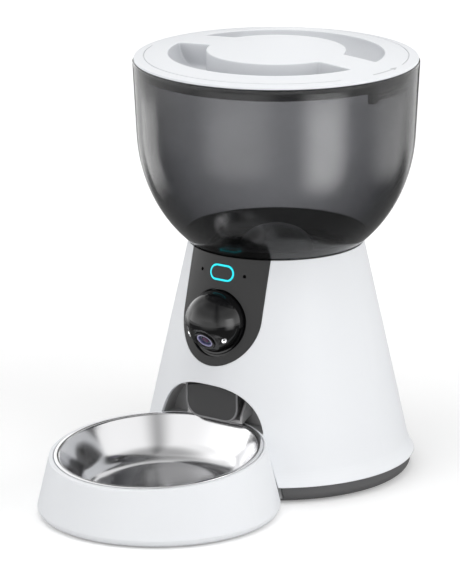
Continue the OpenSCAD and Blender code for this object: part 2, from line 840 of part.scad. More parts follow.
module camera_socket() color(black) {
    difference() {
        union() {
            intersection() {
                at_camera() sphere(r = socket_r + socket_wall);
                cone_solid(panel_t + seat_gap, shell_bottom_z, body_top_z);
            }
            translate([0, -camera_y, pan_motor_z])
                cylinder(h = pan_motor_h + 2 * socket_wall, r = pan_motor_r + pan_motor_wall, $fn = 48);
        }
        at_camera() sphere(r = socket_r);
        translate([0, -camera_y, pan_motor_z - cut])
            cylinder(h = camera_z - pan_motor_z, r = pan_shaft_r + 2 * seat_gap, $fn = 32);
        translate([0, -camera_y, pan_motor_z - cut])
            cylinder(h = pan_motor_h + cut, r = pan_motor_r + shaft_gap, $fn = 48);
    }
}

module pan_motor() color(steel)
    translate([0, -camera_y, pan_motor_z]) difference() {
        cylinder(h = pan_motor_h - shaft_gap, r = pan_motor_r, $fn = 48);
        translate([0, 0, pan_motor_h / 2]) cylinder(h = pan_motor_h, r = pan_shaft_r + shaft_gap, $fn = 32);
    }

// A prism across the body, from a drawing in distance to the front and height
module side_prism(half_w) rotate([90, 0, -90]) linear_extrude(2 * half_w, center = true) children();

// Half of the hood's ring section, from pole to pole
function hood_arc(r) = [
    for (i = [0:hood_steps])
        let (t = hood_pole * (2 * i / hood_steps - 1))
        [r * cos(t), r * sin(t)]
];

// The hood: a thin ball swept about the tilt axis from its underside round the back to its front edge
module camera_hood() color(black) {
    under = asin(pan_cap_r / hood_r);
    front = asin(hood_edge_drop / hood_r);
    inner = hood_arc(hood_r - hood_wall);
    at_camera() {
        rotate([0, 90, 0]) rotate(-under) rotate_extrude(angle = under + 270 + front)
            polygon(concat(hood_arc(hood_r), [for (i = [hood_steps:-1:0]) inner[i]]));
        for (side = [0, 180])
            rotate([0, 90, side]) translate([0, 0, hood_r - hood_wall - tilt_pin_l])
                cylinder(h = tilt_pin_l + hood_wall / 2, r = tilt_pin_r, $fn = 32);
    }
    translate([0, -camera_y, pan_shaft_z])
        cylinder(h = camera_z - hood_r + hood_wall / 2 - pan_shaft_z, r = pan_shaft_r, $fn = 32);
}

// Places its children on the lens axis, local Z out of the lens
module on_lens() at_camera() rotate([90 + lens_down, 0, 0]) children();

module camera_head() color(black) {
    pin_bore_z = hood_r - hood_wall - tilt_pin_l - run_gap;
    difference() {
        at_camera() rotate(90) sphere(r = head_r);
        on_lens() translate([0, 0, lens_face]) cylinder(h = hood_r, r = hood_r);
        on_lens() translate([0, 0, lens_face - barrel_l - cut])
            cylinder(h = hood_r, r = barrel_r - barrel_seat);
        at_camera() for (side = [0, 180])
            rotate([0, 90, side]) translate([0, 0, pin_bore_z])
                cylinder(h = hood_r, r = tilt_pin_r + shaft_gap, $fn = 32);
        at_lamps() translate([0, 0, -lamp_l]) cylinder(h = 2 * lamp_l, r = lamp_r + seat_gap, $fn = 32);
    }
}

module lens_barrel() color(black) {
    on_lens() translate([0, 0, lens_face]) difference() {
        union() {
            translate([0, 0, -barrel_l]) cylinder(h = barrel_l, r = barrel_r - barrel_seat - shaft_gap);
            cylinder(h = barrel_lip, r = barrel_r);
        }
        translate([0, 0, -lens_bore_l]) cylinder(h = barrel_l, r1 = lens_r, r2 = barrel_r * 1.2);
    }
}

module front_lens() color([0.25, 0.2, 0.45]) {
    on_lens() translate([0, 0, lens_face - lens_bore_l]) intersection() {
        translate([0, 0, -lens_r * 1.2]) sphere(r = lens_r * 1.6);
        cylinder(h = lens_r, r = lens_r);
    }
}

// Places its children at the lamps, local Z = 0 on the head's surface
module at_lamps() {
    for (side = [-1, 1])
        on_lens() rotate([0, side * lamp_side, 0]) translate([0, 0, head_r]) children();
}

module infrared_lamps() color([0.85, 0.85, 0.9])
    at_lamps() translate([0, 0, -lamp_l]) cylinder(h = lamp_l - lamp_sink, r = lamp_r, $fn = 32);

// Side view of the chute's bore, or of its outside when grown by the wall
module chute_drawing(grow) {
    past = grow > 0 ? 0 : cut;
    top_z = pan_under_z - chute_top_gap + past;
    polygon([
        [throat_back_y - grow, top_z],
        [throat_back_y - grow, chute_back_z],
        [chute_knee_y, chute_knee_z - grow],
        [arch_back_y, chute_sill_z - grow],
        [chute_lip_y + past, chute_lip_z - grow],
        [chute_lip_y + past, chute_lip_z + chute_side_h],
        [arch_back_y + liner_wall, chute_roof_z],
        [arch_back_y - 2 * liner_wall, chute_roof_z + grow],
        [throat_front_y + grow, chute_bend_z],
        [throat_front_y + grow, top_z]
    ]);
}

module food_chute() color(dark) {
    difference() {
        side_prism(chute_half_w + chute_wall) chute_drawing(chute_wall);
        side_prism(chute_half_w) chute_drawing(0);
    }
}

module outlet_liner() color(dark) {
    difference() {
        intersection() {
            difference() {
                dock_space(liner_wall);
                dock_space(0);
            }
            cone_solid(shell_wall + seat_gap, base_top_z, body_top_z);
            shell_blank(shell_wall + seat_gap, 0, body_top_z);
        }
        side_prism(chute_half_w + chute_wall + seat_gap) chute_drawing(chute_wall + seat_gap);
        at_flap_pin() cylinder(h = 4 * arch_half_w, r = flap_pin_r + shaft_gap, center = true, $fn = 32);
    }
}

// Places its children on the flap's pin, local Z along it
module at_flap_pin() translate([0, -flap_pin_y, flap_pin_z]) rotate([0, 90, 0]) children();

module flap_outline() {
    intersection() {
        arch_outline(-flap_top_gap);
        union() {
            translate([-flap_half_w, flap_bottom_z + flap_corner_r]) square([2 * flap_half_w, arch_top_z]);
            translate([-flap_half_w + flap_corner_r, flap_bottom_z])
                square([2 * (flap_half_w - flap_corner_r), arch_top_z]);
            for (side = [-1, 1])
                translate([side * (flap_half_w - flap_corner_r), flap_bottom_z + flap_corner_r])
                    circle(r = flap_corner_r);
        }
    }
}

module outlet_flap() color(dark) {
    difference() {
        union() {
            front_prism(flap_y - flap_t / 2, flap_y + flap_t / 2) flap_outline();
            at_flap_pin() cylinder(h = flap_knuckle_l, r = flap_knuckle_r, center = true, $fn = 48);
        }
        at_flap_pin() cylinder(h = 4 * flap_half_w, r = flap_pin_r + shaft_gap, center = true, $fn = 32);
    }
}

module flap_pin() color(steel)
    at_flap_pin() cylinder(h = 2 * flap_pin_half_l, r = flap_pin_r, center = true, $fn = 32);

module rotor_pan() color(dark) {
    difference() {
        union() {
            translate([0, 0, pan_under_z])
                cylinder(h = hopper_seat_z - pan_under_z, r = pan_socket_r + pan_wall);
            translate([0, 0, hopper_seat_z - pan_flange_t]) cylinder(h = pan_flange_t, r = pan_flange_r);
        }
        translate([0, 0, pan_floor_z]) cylinder(h = hopper_seat_z, r = pan_r);
        translate([0, 0, pan_step_z]) cylinder(h = hopper_seat_z, r = pan_socket_r);
        ring_sector(drop_in_r, drop_out_r, pan_under_z - cut, pan_floor_z + cut,
            -90 - drop_half_angle, 2 * drop_half_angle);
        translate([0, 0, pan_under_z - cut]) cylinder(h = pan_floor_t + 2 * cut, r = bush_r + shaft_gap);
        at_pan_screws() {
            translate([0, 0, hopper_seat_z - pan_flange_t - cut])
                cylinder(h = pan_flange_t + 2 * cut, r = pan_screw_shank_r + seat_gap, $fn = 32);
            translate([0, 0, hopper_seat_z - pan_screw_head_h - screw_sink])
                cylinder(h = pan_flange_t, r = pan_screw_head_r + seat_gap, $fn = 32);
        }
        front_prism(pan_socket_r + pan_wall, body_foot_r)
            translate([-panel_half_w + panel_ledge, pan_under_z - cut])
                square([2 * (panel_half_w - panel_ledge), hopper_seat_z]);
    }
}

module pan_screws() color(steel) at_pan_screws() {
    translate([0, 0, hopper_seat_z - pan_screw_head_h - screw_sink])
        cylinder(h = pan_screw_head_h, r = pan_screw_head_r, $fn = 32);
    translate([0, 0, hopper_seat_z - pan_screw_l])
        cylinder(h = pan_screw_l - pan_screw_head_h, r = pan_screw_shank_r, $fn = 32);
}

module feed_rotor() color(dark) {
    dome_steps = 8;
    dome_h = dome_top_z - vane_top_z;
    difference() {
        union() {
            translate([0, 0, rotor_z]) cylinder(h = vane_top_z - rotor_z, r = rotor_hub_r);
            rotate_extrude() polygon(concat(
                [[0, vane_top_z - dome_skirt], [dome_r, vane_top_z - dome_skirt]],
                [for (i = [0:dome_steps])
                    let (t = 90 * i / dome_steps)
                    [dome_r * cos(t), vane_top_z + dome_h * sin(t)]]
            ));
            intersection() {
                for (i = [0:vane_count - 1])
                    rotate(-90 + (i + 0.5) * 360 / vane_count) translate([0, -vane_t / 2, rotor_z])
                        cube([pan_r, vane_t, vane_top_z - rotor_z]);
                cylinder(h = hopper_seat_z, r = rotor_r);
            }
        }
        translate([0, 0, rotor_z - cut]) cylinder(h = shaft_top_z - rotor_z + cut, r = shaft_r + shaft_gap);
    }
}

module output_shaft() color(steel)
    translate([0, 0, gear_plate_z + shaft_end_gap])
        cylinder(h = shaft_top_z - gear_plate_z - 2 * shaft_end_gap, r = shaft_r);

module shaft_bush() color(brass) {
    difference() {
        union() {
            translate([0, 0, pan_under_z - bush_flange_t])
                cylinder(h = pan_floor_z - pan_under_z + bush_flange_t, r = bush_r);
            translate([0, 0, pan_under_z - bush_flange_t]) cylinder(h = bush_flange_t, r = bush_flange_r);
        }
        translate([0, 0, gear_z]) cylinder(h = hopper_seat_z, r = shaft_r + shaft_gap);
    }
}

// Involute of the base circle, in degrees, at radius r
function involute(r, base) = let (a = acos(min(1, base / r))) tan(a) * 180 / PI - a;

// Half the angle that a tooth takes at radius r
function tooth_half(r, teeth, base) =
    90 / teeth - tooth_backlash / (teeth * gear_module) * 90 / PI
    + involute(teeth * gear_module / 2, base) - involute(max(r, base), base);

module gear_outline(teeth) {
    pitch = teeth * gear_module / 2;
    base = pitch * cos(pressure_angle);
    tip = pitch + tooth_height * gear_module;
    root = pitch - (tooth_height + tooth_clearance) * gear_module;
    flank = 5;
    rs = concat([root], [for (i = [0:flank]) max(base, root) + (tip - max(base, root)) * i / flank]);
    polygon([
        for (k = [0:teeth - 1])
            for (side = [-1, 1])
                for (i = [0:len(rs) - 1])
                    let (r = side < 0 ? rs[i] : rs[len(rs) - 1 - i],
                        a = k * 360 / teeth + side * tooth_half(r, teeth, base))
                    [r * cos(a), r * sin(a)]
    ]);
}

module drive_gear() color(white) {
    translate([0, 0, gear_z]) rotate(90) difference() {
        linear_extrude(gear_h) gear_outline(gear_teeth);
        translate([0, 0, -cut]) cylinder(h = gear_h + 2 * cut, r = shaft_r + shaft_gap);
    }
}

module motor_pinion() color(brass) {
    translate([0, gear_distance, 0]) {
        translate([0, 0, gear_z]) rotate(270 + 180 / pinion_teeth)
            linear_extrude(gear_h) gear_outline(pinion_teeth);
        translate([0, 0, gear_plate_z - motor_shaft_l])
            cylinder(h = gear_z - gear_plate_z + motor_shaft_l + cut, r = motor_shaft_r, $fn = 32);
    }
}

module at_plate_posts()
    for (x = [-plate_post_x, plate_post_x], y = [plate_front_y, plate_back_y])
        translate([x, y, 0]) children();

module gear_plate() color(dark) {
    difference() {
        union() {
            translate([-plate_post_x - plate_post_r, plate_front_y - plate_post_r, gear_plate_z])
                cube([2 * (plate_post_x + plate_post_r),
                    plate_back_y - plate_front_y + 2 * plate_post_r, gear_plate_t]);
            at_plate_posts() translate([0, 0, gear_plate_z])
                cylinder(h = pan_under_z - gear_plate_z, r = plate_post_r);
        }
        translate([0, 0, gear_plate_z - cut]) cylinder(h = gear_plate_t + 2 * cut, r = shaft_r + shaft_gap);
        translate([0, gear_distance, gear_plate_z - cut])
            cylinder(h = gear_plate_t + 2 * cut, r = motor_shaft_r + seat_gap, $fn = 32);
    }
}

module drive_motor() color(steel) {
    translate([0, gear_distance, gear_plate_z - motor_l]) difference() {
        union() {
            cylinder(h = motor_l, r = motor_r - motor_step);
            translate([0, 0, motor_l - motor_head_l]) cylinder(h = motor_head_l, r = motor_r);
            translate([0, 0, -motor_end_l]) cylinder(h = motor_end_l + cut, r = motor_end_r);
        }
        translate([0, 0, motor_l - motor_shaft_l - cut])
            cylinder(h = motor_shaft_l + 2 * cut, r = motor_shaft_r + shaft_gap, $fn = 32);
    }
}

module at_board_posts()
    for (x = [-board_post_x, board_post_x], dy = [-board_post_dy, board_post_dy])
        translate([x, board_y + dy, 0]) children();

module main_board() color(board_green) {
    difference() {
        translate([-board_l / 2, board_y - board_w / 2, board_z]) cube([board_l, board_w, board_t]);
        at_board_posts() translate([0, 0, board_z - cut])
            cylinder(h = board_t + 2 * cut, r = board_screw_r + seat_gap, $fn = 32);
    }
}

module board_parts() color(steel) {
    translate([0, board_y, board_z + board_t]) {
        translate(radio_at) cube(radio_size);
        translate(chip_at) cube(chip_size);
        for (y = plug_ys)
            translate([plug_x, y, 0]) cube(plug_size);
        translate([capacitor_x, 0, 0]) cylinder(h = capacitor_h, r = capacitor_r);
    }
}

module board_screws() color(steel) at_board_posts() {
    translate([0, 0, board_z + board_t]) cylinder(h = board_screw_head_h, r = board_screw_head_r, $fn = 32);
    translate([0, 0, base_top_z + cut])
        cylinder(h = board_z + board_t - base_top_z, r = board_screw_r, $fn = 32);
}

module speaker() color(black) {
    translate([0, speaker_back_y + speaker_ledge, speaker_z]) rotate([-90, 0, 0]) difference() {
        union() {
            cylinder(h = speaker_h, r = speaker_r);
            translate([0, 0, -magnet_l]) cylinder(h = magnet_l + cut, r = speaker_r * 0.6);
        }
        translate([0, 0, speaker_h - cone_depth])
            cylinder(h = cone_depth + cut, r1 = speaker_r * 0.3, r2 = speaker_r * 0.95);
    }
}

module power_socket() color(black) {
    face_y = shell_r(socket_z + inlet_r) - seat_gap;
    translate([0, face_y, socket_z]) rotate([90, 0, 0]) {
        difference() {
            cylinder(h = inlet_l, r = inlet_r);
            translate([0, 0, -cut]) cylinder(h = inlet_bore_l + cut, r = inlet_bore_r, $fn = 48);
        }
        translate([0, 0, inlet_pin_sink])
            cylinder(h = inlet_l - inlet_pin_sink - cut, r = inlet_pin_r, $fn = 32);
    }
}

module hopper_shell() color(smoke) {
    neck_out_r = neck_r + neck_wall;
    inner = [for (p = hopper_line(hopper_seat_z, hopper_top_z, hopper_wall)) if (p.x > neck_r) p];
    rotate_extrude() polygon(concat(
        [[neck_r, inner[0].y], [neck_r, neck_bottom_z],
         [neck_out_r, neck_bottom_z], [neck_out_r, hopper_seat_z]],
        hopper_line(hopper_seat_z, hopper_top_z, 0),
        [for (i = [len(inner) - 1:-1:0]) inner[i]]
    ));
    for (i = [0:lug_count - 1])
        hopper_lug(lid_lug_center + lid_turn + 360 * i / lug_count);
}

module hopper_lug(at) {
    z0 = hopper_lug_top_z - lug_h;
    in_r = hopper_r_at(z0, hopper_wall) - lug_reach;
    ring_sector(in_r, in_r + lug_reach + hopper_wall / 2, z0, hopper_lug_top_z,
        at - hopper_lug_span / 2, hopper_lug_span);
}

module hopper_funnel() color(dark) {
    steps = 8;
    zs = [for (i = [0:steps]) funnel_z + (funnel_top_z - funnel_z) * i / steps];
    out = [for (z = zs) hopper_r_at(z, hopper_wall) - funnel_gap];
    rotate_extrude() polygon(concat(
        [for (i = [0:steps]) [out[i], zs[i]]],
        [for (i = [steps:-1:0]) [out[i] - funnel_t, zs[i]]]
    ));
    ring_sector(baffle_in_r, out[0] - funnel_gap, funnel_z, funnel_z + baffle_t,
        -90 - baffle_half_angle, 2 * baffle_half_angle);
}

module well_drawing(grow) {
    steps = 8;
    floor_z = lid_top_z - well_depth - grow;
    floor_r = well_in_r + well_floor_w;
    reach = well_out_r + grow - floor_r;
    polygon(concat(
        [[well_in_r - grow, lid_top_z + (grow > 0 ? 0 : cut)], [well_in_r - grow, floor_z],
         [floor_r, floor_z]],
        [for (i = [1:steps])
            let (t = 90 * i / steps)
            [floor_r + reach * sin(t), floor_z + (well_depth + grow) * (1 - cos(t))]],
        grow > 0 ? [] : [[well_out_r, lid_top_z + cut]]
    ));
}

module wells(grow) {
    difference() {
        rotate_extrude() well_drawing(grow);
        translate([-lid_r, -grip_half_w + grow, lid_top_z - 2 * well_depth])
            cube([2 * lid_r, 2 * (grip_half_w - grow), 4 * well_depth]);
    }
}

// Space under the lid's crowned face, lowered by a drop
module lid_body(r, drop, low) {
    steps = 20;
    rotate_extrude() polygon(concat(
        [[0, low], [r, low]],
        [for (i = [steps:-1:0]) [r * i / steps, lid_top_at(r * i / steps) - drop]]
    ));
}

// Crowned plate with a rounded edge
module lid_plate() {
    steps = 20;
    round_steps = 4;
    face_r = lid_r - lid_round;
    rotate_extrude() polygon(concat(
        [[0, lid_z], [lid_r, lid_z]],
        [for (i = [0:round_steps])
            let (t = 90 * i / round_steps)
            [face_r + lid_round * cos(t), lid_top_at(face_r) - lid_round * (1 - sin(t))]],
        [for (i = [steps - 1:-1:0]) [face_r * i / steps, lid_top_at(face_r * i / steps)]]
    ));
}

module lid_cover() color(white)
    difference() {
        union() {
            difference() {
                lid_plate();
                lid_body(lid_skirt_r - lid_skirt_wall, lid_wall, lid_z - cut);
            }
            ring_sector(lid_skirt_r - lid_skirt_wall, lid_skirt_r,
                lid_ring_z + lid_flange_t, lid_z + cut, 0, 360);
            intersection() {
                wells(lid_wall);
                lid_body(lid_skirt_r, lid_wall / 2, lid_top_z - 2 * well_depth);
            }
        }
        wells(0);
        lid_groove(groove_from);
        lid_groove(groove_from + 180);
    }

module lid_groove(from)
    ring_sector(groove_r - groove_w / 2, groove_r + groove_w / 2, lid_top_at(groove_r) - groove_depth,
        lid_top_z + cut, from, groove_span);

module lid_ring() color(black) {
    in_r = lid_ring_r - lid_ring_wall;
    flange_in_r = lid_skirt_r - lid_skirt_wall;
    difference() {
        union() {
            ring_sector(in_r, lid_ring_r, lid_ring_z, lid_z, 0, 360);
            ring_sector(flange_in_r, lid_ring_r, lid_ring_z, lid_ring_z + lid_flange_t, 0, 360);
        }
        ring_sector(seal_in_r - seal_gap, lid_ring_r + cut, seal_z - seal_gap,
            seal_z + seal_h + seal_gap, 0, 360);
    }
    for (i = [0:lug_count - 1])
        lid_lug(lid_lug_center + 360 * i / lug_count - lid_lug_span / 2, flange_in_r + seat_gap);
}

// Hook of the bayonet: a stem inside the hopper's lugs, a foot that turns in under them, and a stop
module lid_lug(from, in_r) {
    top_z = lid_ring_z + lid_flange_t / 2;
    foot_r = hopper_r_at(lid_lug_z, hopper_wall) - run_gap;
    stem_r = hopper_r_at(hopper_lug_top_z - lug_h, hopper_wall) - lug_reach - run_gap;
    rotate(from) rotate_extrude(angle = lid_lug_span) polygon([
        [in_r, lid_lug_z], [foot_r, lid_lug_z], [foot_r, lid_lug_z + lug_h],
        [stem_r, lid_lug_z + lug_h], [stem_r, top_z], [in_r, top_z]
    ]);
    ring_sector(in_r + seat_gap, foot_r - seat_gap, lid_lug_z - stop_drop, top_z - seat_gap,
        from - stop_span, stop_span + 1);
}

module lid_seal() color(rubber)
    ring_sector(seal_in_r, lid_ring_r + seal_proud, seal_z, seal_z + seal_h, 0, 360);

module tray_outer() {
    round_steps = 5;
    translate([0, -tray_y, 0]) rotate_extrude() polygon(concat(
        [[0, tray_foot_h]],
        [for (i = [0:round_steps])
            let (t = 90 * i / round_steps)
            [tray_r - (tray_round - tray_foot_h) * (1 - sin(t)),
             tray_foot_h + (tray_round - tray_foot_h) * (1 - cos(t))]],
        [[tray_r_at(tray_top_z), tray_top_z], [0, tray_top_z]]
    ));
}

// Rounded upper edge of the tray at its front, in the tilted frame
module rim_cap() {
    steps = 5;
    top_r = rim_front_r - rim_inset;
    in_bowl() rotate_extrude() polygon(concat(
        [[0, 0]],
        [for (i = [0:steps])
            let (t = 90 * i / steps)
            [top_r + rim_inset * sin(t), -rim_inset * (1 - cos(t))]],
        [[top_r + tray_r, -rim_inset - tray_r], [0, -rim_inset - tray_r]]
    ));
}

module bowl_tray() color(white) {
    difference() {
        intersection() {
            tray_outer();
            rim_cap();
        }
        intersection() {
            translate([0, -tray_y, 0]) rotate_extrude() polygon([
                [0, -cut], [tray_r - tray_wall - tray_round / 2, -cut],
                [tray_r - tray_wall, tray_round], [tray_r_at(tray_top_z) - tray_wall, tray_top_z],
                [0, tray_top_z]
            ]);
            under_rim(tray_wall + flange_seat);
        }
        in_bowl() translate([0, 0, -2 * tray_wall])
            cylinder(h = 4 * tray_wall, r = mouth_r + steel_t + bowl_lip_r);
        in_bowl() translate([0, 0, -flange_seat]) cylinder(h = 2 * tray_wall, r = bowl_r + flange_gap);
        in_bowl() ring_sector(bowl_r - seat_gap, bowl_r + flange_gap, -flange_seat - flange_gap_depth,
            tray_wall, 0, 360);
    }
    tray_foot_pads();
}

module at_tray_feet()
    for (a = [45:90:315])
        translate([0, -tray_y, 0]) rotate(a) translate([tray_foot_at, 0, 0]) children();

// Pads inside the tray's wall that carry its feet
module tray_foot_pads() {
    intersection() {
        at_tray_feet() translate([0, 0, tray_foot_h])
            translate([-tray_foot_r - pad_rim, -tray_foot_r - pad_rim, 0])
                cube([pad_l, 2 * (tray_foot_r + pad_rim), pad_t]);
        tray_outer();
    }
}

module tray_feet() color(rubber)
    at_tray_feet() cylinder(h = tray_foot_h, r = tray_foot_r, $fn = 48);

module steel_bowl() color(steel) {
    inner = concat([[0, -bowl_depth]], bowl_bend(0), bowl_lip(0));
    outer = concat([[0, -bowl_depth - steel_t]], bowl_bend(steel_t), bowl_lip(steel_t));
    in_bowl() translate([0, 0, bowl_gap - flange_seat]) rotate_extrude() polygon(concat(
        inner, [[bowl_r, steel_t], [bowl_r, 0]], [for (i = [len(outer) - 1:-1:0]) outer[i]]
    ));
}

body_shell();
base_cover();
foot_ring();
base_screws();
front_panel();
button_light_ring();
feed_button();
button_board();
microphone();
status_lamp();
camera_socket();
camera_hood();
camera_head();
lens_barrel();
front_lens();
infrared_lamps();
pan_motor();
outlet_liner();
food_chute();
outlet_flap();
flap_pin();
rotor_pan();
pan_screws();
feed_rotor();
output_shaft();
shaft_bush();
drive_gear();
motor_pinion();
gear_plate();
drive_motor();
main_board();
board_parts();
board_screws();
speaker();
power_socket();
hopper_shell();
hopper_funnel();
lid_cover();
lid_ring();
lid_seal();
bowl_tray();
tray_feet();
steel_bowl();
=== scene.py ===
import math

import bmesh
import bpy
import numpy as np
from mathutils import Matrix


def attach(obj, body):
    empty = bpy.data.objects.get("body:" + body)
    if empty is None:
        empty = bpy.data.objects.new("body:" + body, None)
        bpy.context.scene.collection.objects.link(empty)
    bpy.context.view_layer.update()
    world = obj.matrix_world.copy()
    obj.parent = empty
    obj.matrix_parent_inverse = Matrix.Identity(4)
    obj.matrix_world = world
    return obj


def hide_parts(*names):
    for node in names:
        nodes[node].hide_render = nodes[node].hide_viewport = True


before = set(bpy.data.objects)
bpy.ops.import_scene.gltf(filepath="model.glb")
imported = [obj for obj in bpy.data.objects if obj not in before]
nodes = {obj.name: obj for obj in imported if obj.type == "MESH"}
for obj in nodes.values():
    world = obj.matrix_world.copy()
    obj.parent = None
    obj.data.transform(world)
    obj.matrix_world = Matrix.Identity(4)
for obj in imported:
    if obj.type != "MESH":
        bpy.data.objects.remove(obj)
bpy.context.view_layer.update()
mm = 0.001
weld = 1e-6   # points nearer than this, in metres, are one
print("frame loaded:", len(nodes), "nodes")


def newObject(name, data):
    obj = bpy.data.objects.new(name, data)
    bpy.context.scene.collection.objects.link(obj)
    return obj


# place on the floor: sine and cosine of a heading, counted from the front, times the distance from the axis
def around(heading, distance):
    turn = math.radians(heading)
    return distance * math.sin(turn), -distance * math.cos(turn)


# the photograph's view: heading about the body's axis, pitch below the horizon, picture in pixels
viewSet = {
    "heading": 36.3, "pitch": 15.435, "distance": 2.95444, "height": 0.9457, "sensor": 36.0,
    "clip": (0.05, 30.0), "focalPx": 4306.82, "pictureW": 460, "pictureH": 576, "middleX": 276.25,
}


# the lens is the focal length in pixels over the picture's height, times the sensor
def makeCamera(s):
    data = bpy.data.cameras.new("photoCamera")
    data.sensor_width = s["sensor"]
    data.lens = s["focalPx"] * s["sensor"] / s["pictureH"]
    data.shift_x = (s["pictureW"] / 2 - s["middleX"]) / s["pictureH"]
    data.clip_start, data.clip_end = s["clip"]
    cam = newObject("photoCamera", data)
    cam.location = (*around(s["heading"], s["distance"]), s["height"])
    cam.rotation_euler = (math.radians(90 - s["pitch"]), 0, math.radians(s["heading"]))
    bpy.context.scene.camera = cam


makeCamera(viewSet)
bpy.context.scene.view_settings.view_transform = "Standard"
print("camera set")


# mesh helpers: a surface is an array of points on a grid of two parameters
def gridMesh(points, closeU=False, closeV=False):
    nu, nv = points.shape[:2]
    iu = np.arange(nu if closeU else nu - 1)
    iv = np.arange(nv if closeV else nv - 1)
    u, v = np.meshgrid(iu, iv, indexing="ij")
    u2, v2 = (u + 1) % nu, (v + 1) % nv
    faces = np.stack([u * nv + v, u2 * nv + v, u2 * nv + v2, u * nv + v2], -1).reshape(-1, 4)
    return points.reshape(-1, 3), faces


# one object from several surfaces: welded, normals outward, smooth up to the sharp angle in degrees
def addObject(name, parts, material, sharp=40):
    verts = np.concatenate([p[0] for p in parts])
    starts = np.cumsum([0] + [len(p[0]) for p in parts[:-1]])
    faces = np.concatenate([p[1] + s for p, s in zip(parts, starts)])
    mesh = bpy.data.meshes.new(name)
    mesh.from_pydata(verts, [], faces.tolist())
    bm = bmesh.new()
    bm.from_mesh(mesh)
    bmesh.ops.remove_doubles(bm, verts=bm.verts, dist=weld)
    bmesh.ops.recalc_face_normals(bm, faces=bm.faces)
    bm.to_mesh(mesh)
    bm.free()
    mesh.polygons.foreach_set("use_smooth", np.ones(len(mesh.polygons), bool))
    mesh.set_sharp_from_angle(angle=math.radians(sharp))
    mesh.materials.append(material)
    return newObject(name, mesh)


# a profile of radius and height carried round the Z axis, from one angle to another
def revolve(profile, steps, start=0.0, span=360.0, closeProfile=True):
    full = span >= 360.0
    angles = np.radians(start + span * np.arange(steps) / (steps if full else steps - 1))
    r, z = profile[:, 0][:, None], profile[:, 1][:, None]
    points = np.stack([r * np.cos(angles), r * np.sin(angles), z + 0 * angles], -1)
    return gridMesh(points, closeProfile, full)


# the same over part of a turn, with its two flat ends filled from a four-sided profile
def closedSweep(profile, steps, start, span):
    verts, faces = revolve(profile, steps, start, span)
    first = np.arange(4)[None] * steps
    return verts, np.concatenate([faces, first, first + steps - 1])


# points of a circle: its centre plus the radius times cosine and sine
def arc(centre, radius, fromDeg, toDeg, count):
    t = np.radians(np.linspace(fromDeg, toDeg, count))
    return np.stack([centre[0] + radius * np.cos(t), centre[1] + radius * np.sin(t)], -1)


# shader helpers
def setInputs(node, values):
    for label, value in values.items():
        node.inputs[label].default_value = value


def coordsOf(tree, kind="Object"):
    return tree.nodes.new("ShaderNodeTexCoord").outputs[kind]


def splitAxes(tree, source):
    node = tree.nodes.new("ShaderNodeSeparateXYZ")
    tree.links.new(source, node.inputs[0])
    return node.outputs


def mathNode(tree, operation, first, second):
    node = tree.nodes.new("ShaderNodeMath")
    node.operation = operation
    for socket, value in zip(node.inputs, (first, second)):
        if isinstance(value, (int, float)):
            socket.default_value = value
        else:
            tree.links.new(value, socket)
    return node.outputs[0]


# a vector by itself or with a second one: gives a number for a length or a dot product, else a vector
def vectorNode(tree, operation, source, second=None):
    node = tree.nodes.new("ShaderNodeVectorMath")
    node.operation = operation
    tree.links.new(source, node.inputs[0])
    if second:
        node.inputs[1].default_value = second
    return node.outputs["Value" if operation in ("LENGTH", "DOT_PRODUCT") else "Vector"]


# a number carried from one range to another, eased at both ends or straight
def ramp(tree, source, fromMin, fromMax, toMin=0.0, toMax=1.0, ease=True):
    node = tree.nodes.new("ShaderNodeMapRange")
    if ease:
        node.interpolation_type = "SMOOTHSTEP"
    setInputs(node, {"From Min": fromMin, "From Max": fromMax, "To Min": toMin, "To Max": toMax})
    tree.links.new(source, node.inputs["Value"])
    return node.outputs["Result"]


def mixColour(tree, factor, first, second):
    node = tree.nodes.new("ShaderNodeMix")
    node.data_type = "RGBA"
    setInputs(node, {"A": (*first, 1), "B": (*second, 1)})
    tree.links.new(factor, node.inputs["Factor"])
    return node.outputs["Result"]


# the surface shows the first shader, and the second by the factor's share
def showMix(tree, factor, first, second):
    mix = tree.nodes.new("ShaderNodeMixShader")
    for socket, source in zip(mix.inputs, (factor, first.outputs[0], second.outputs[0])):
        tree.links.new(source, socket)
    tree.links.new(mix.outputs[0], tree.nodes["Material Output"].inputs["Surface"])


# shader groups that several finishes share
def newGroup(name, inputs, outputs):
    group = bpy.data.node_groups.new(name, "ShaderNodeTree")
    for labels, way in ((inputs, "INPUT"), (outputs, "OUTPUT")):
        for label in labels:
            group.interface.new_socket(label, in_out=way, socket_type="NodeSocketFloat")
    return group, group.nodes.new("NodeGroupInput"), group.nodes.new("NodeGroupOutput")


grainSet = {"fineDetail": 3.0, "slowDetail": 2.0}
smudgeSet = {"detail": 5.0, "distortion": 0.6, "full": 0.85}


# fine moulded grain: two noises of different size, as a height and as a slow mottle
def makeGrainGroup(s):
    group, inp, out = newGroup("mouldGrain", ["Fine", "Slow"], ["Height", "Mottle"])
    for label, detail, result in (("Fine", s["fineDetail"], "Height"), ("Slow", s["slowDetail"], "Mottle")):
        noise = group.nodes.new("ShaderNodeTexNoise")
        noise.inputs["Detail"].default_value = detail
        group.links.new(coordsOf(group), noise.inputs["Vector"])
        group.links.new(inp.outputs[label], noise.inputs["Scale"])
        group.links.new(noise.outputs["Fac"], out.inputs[result])
    return group


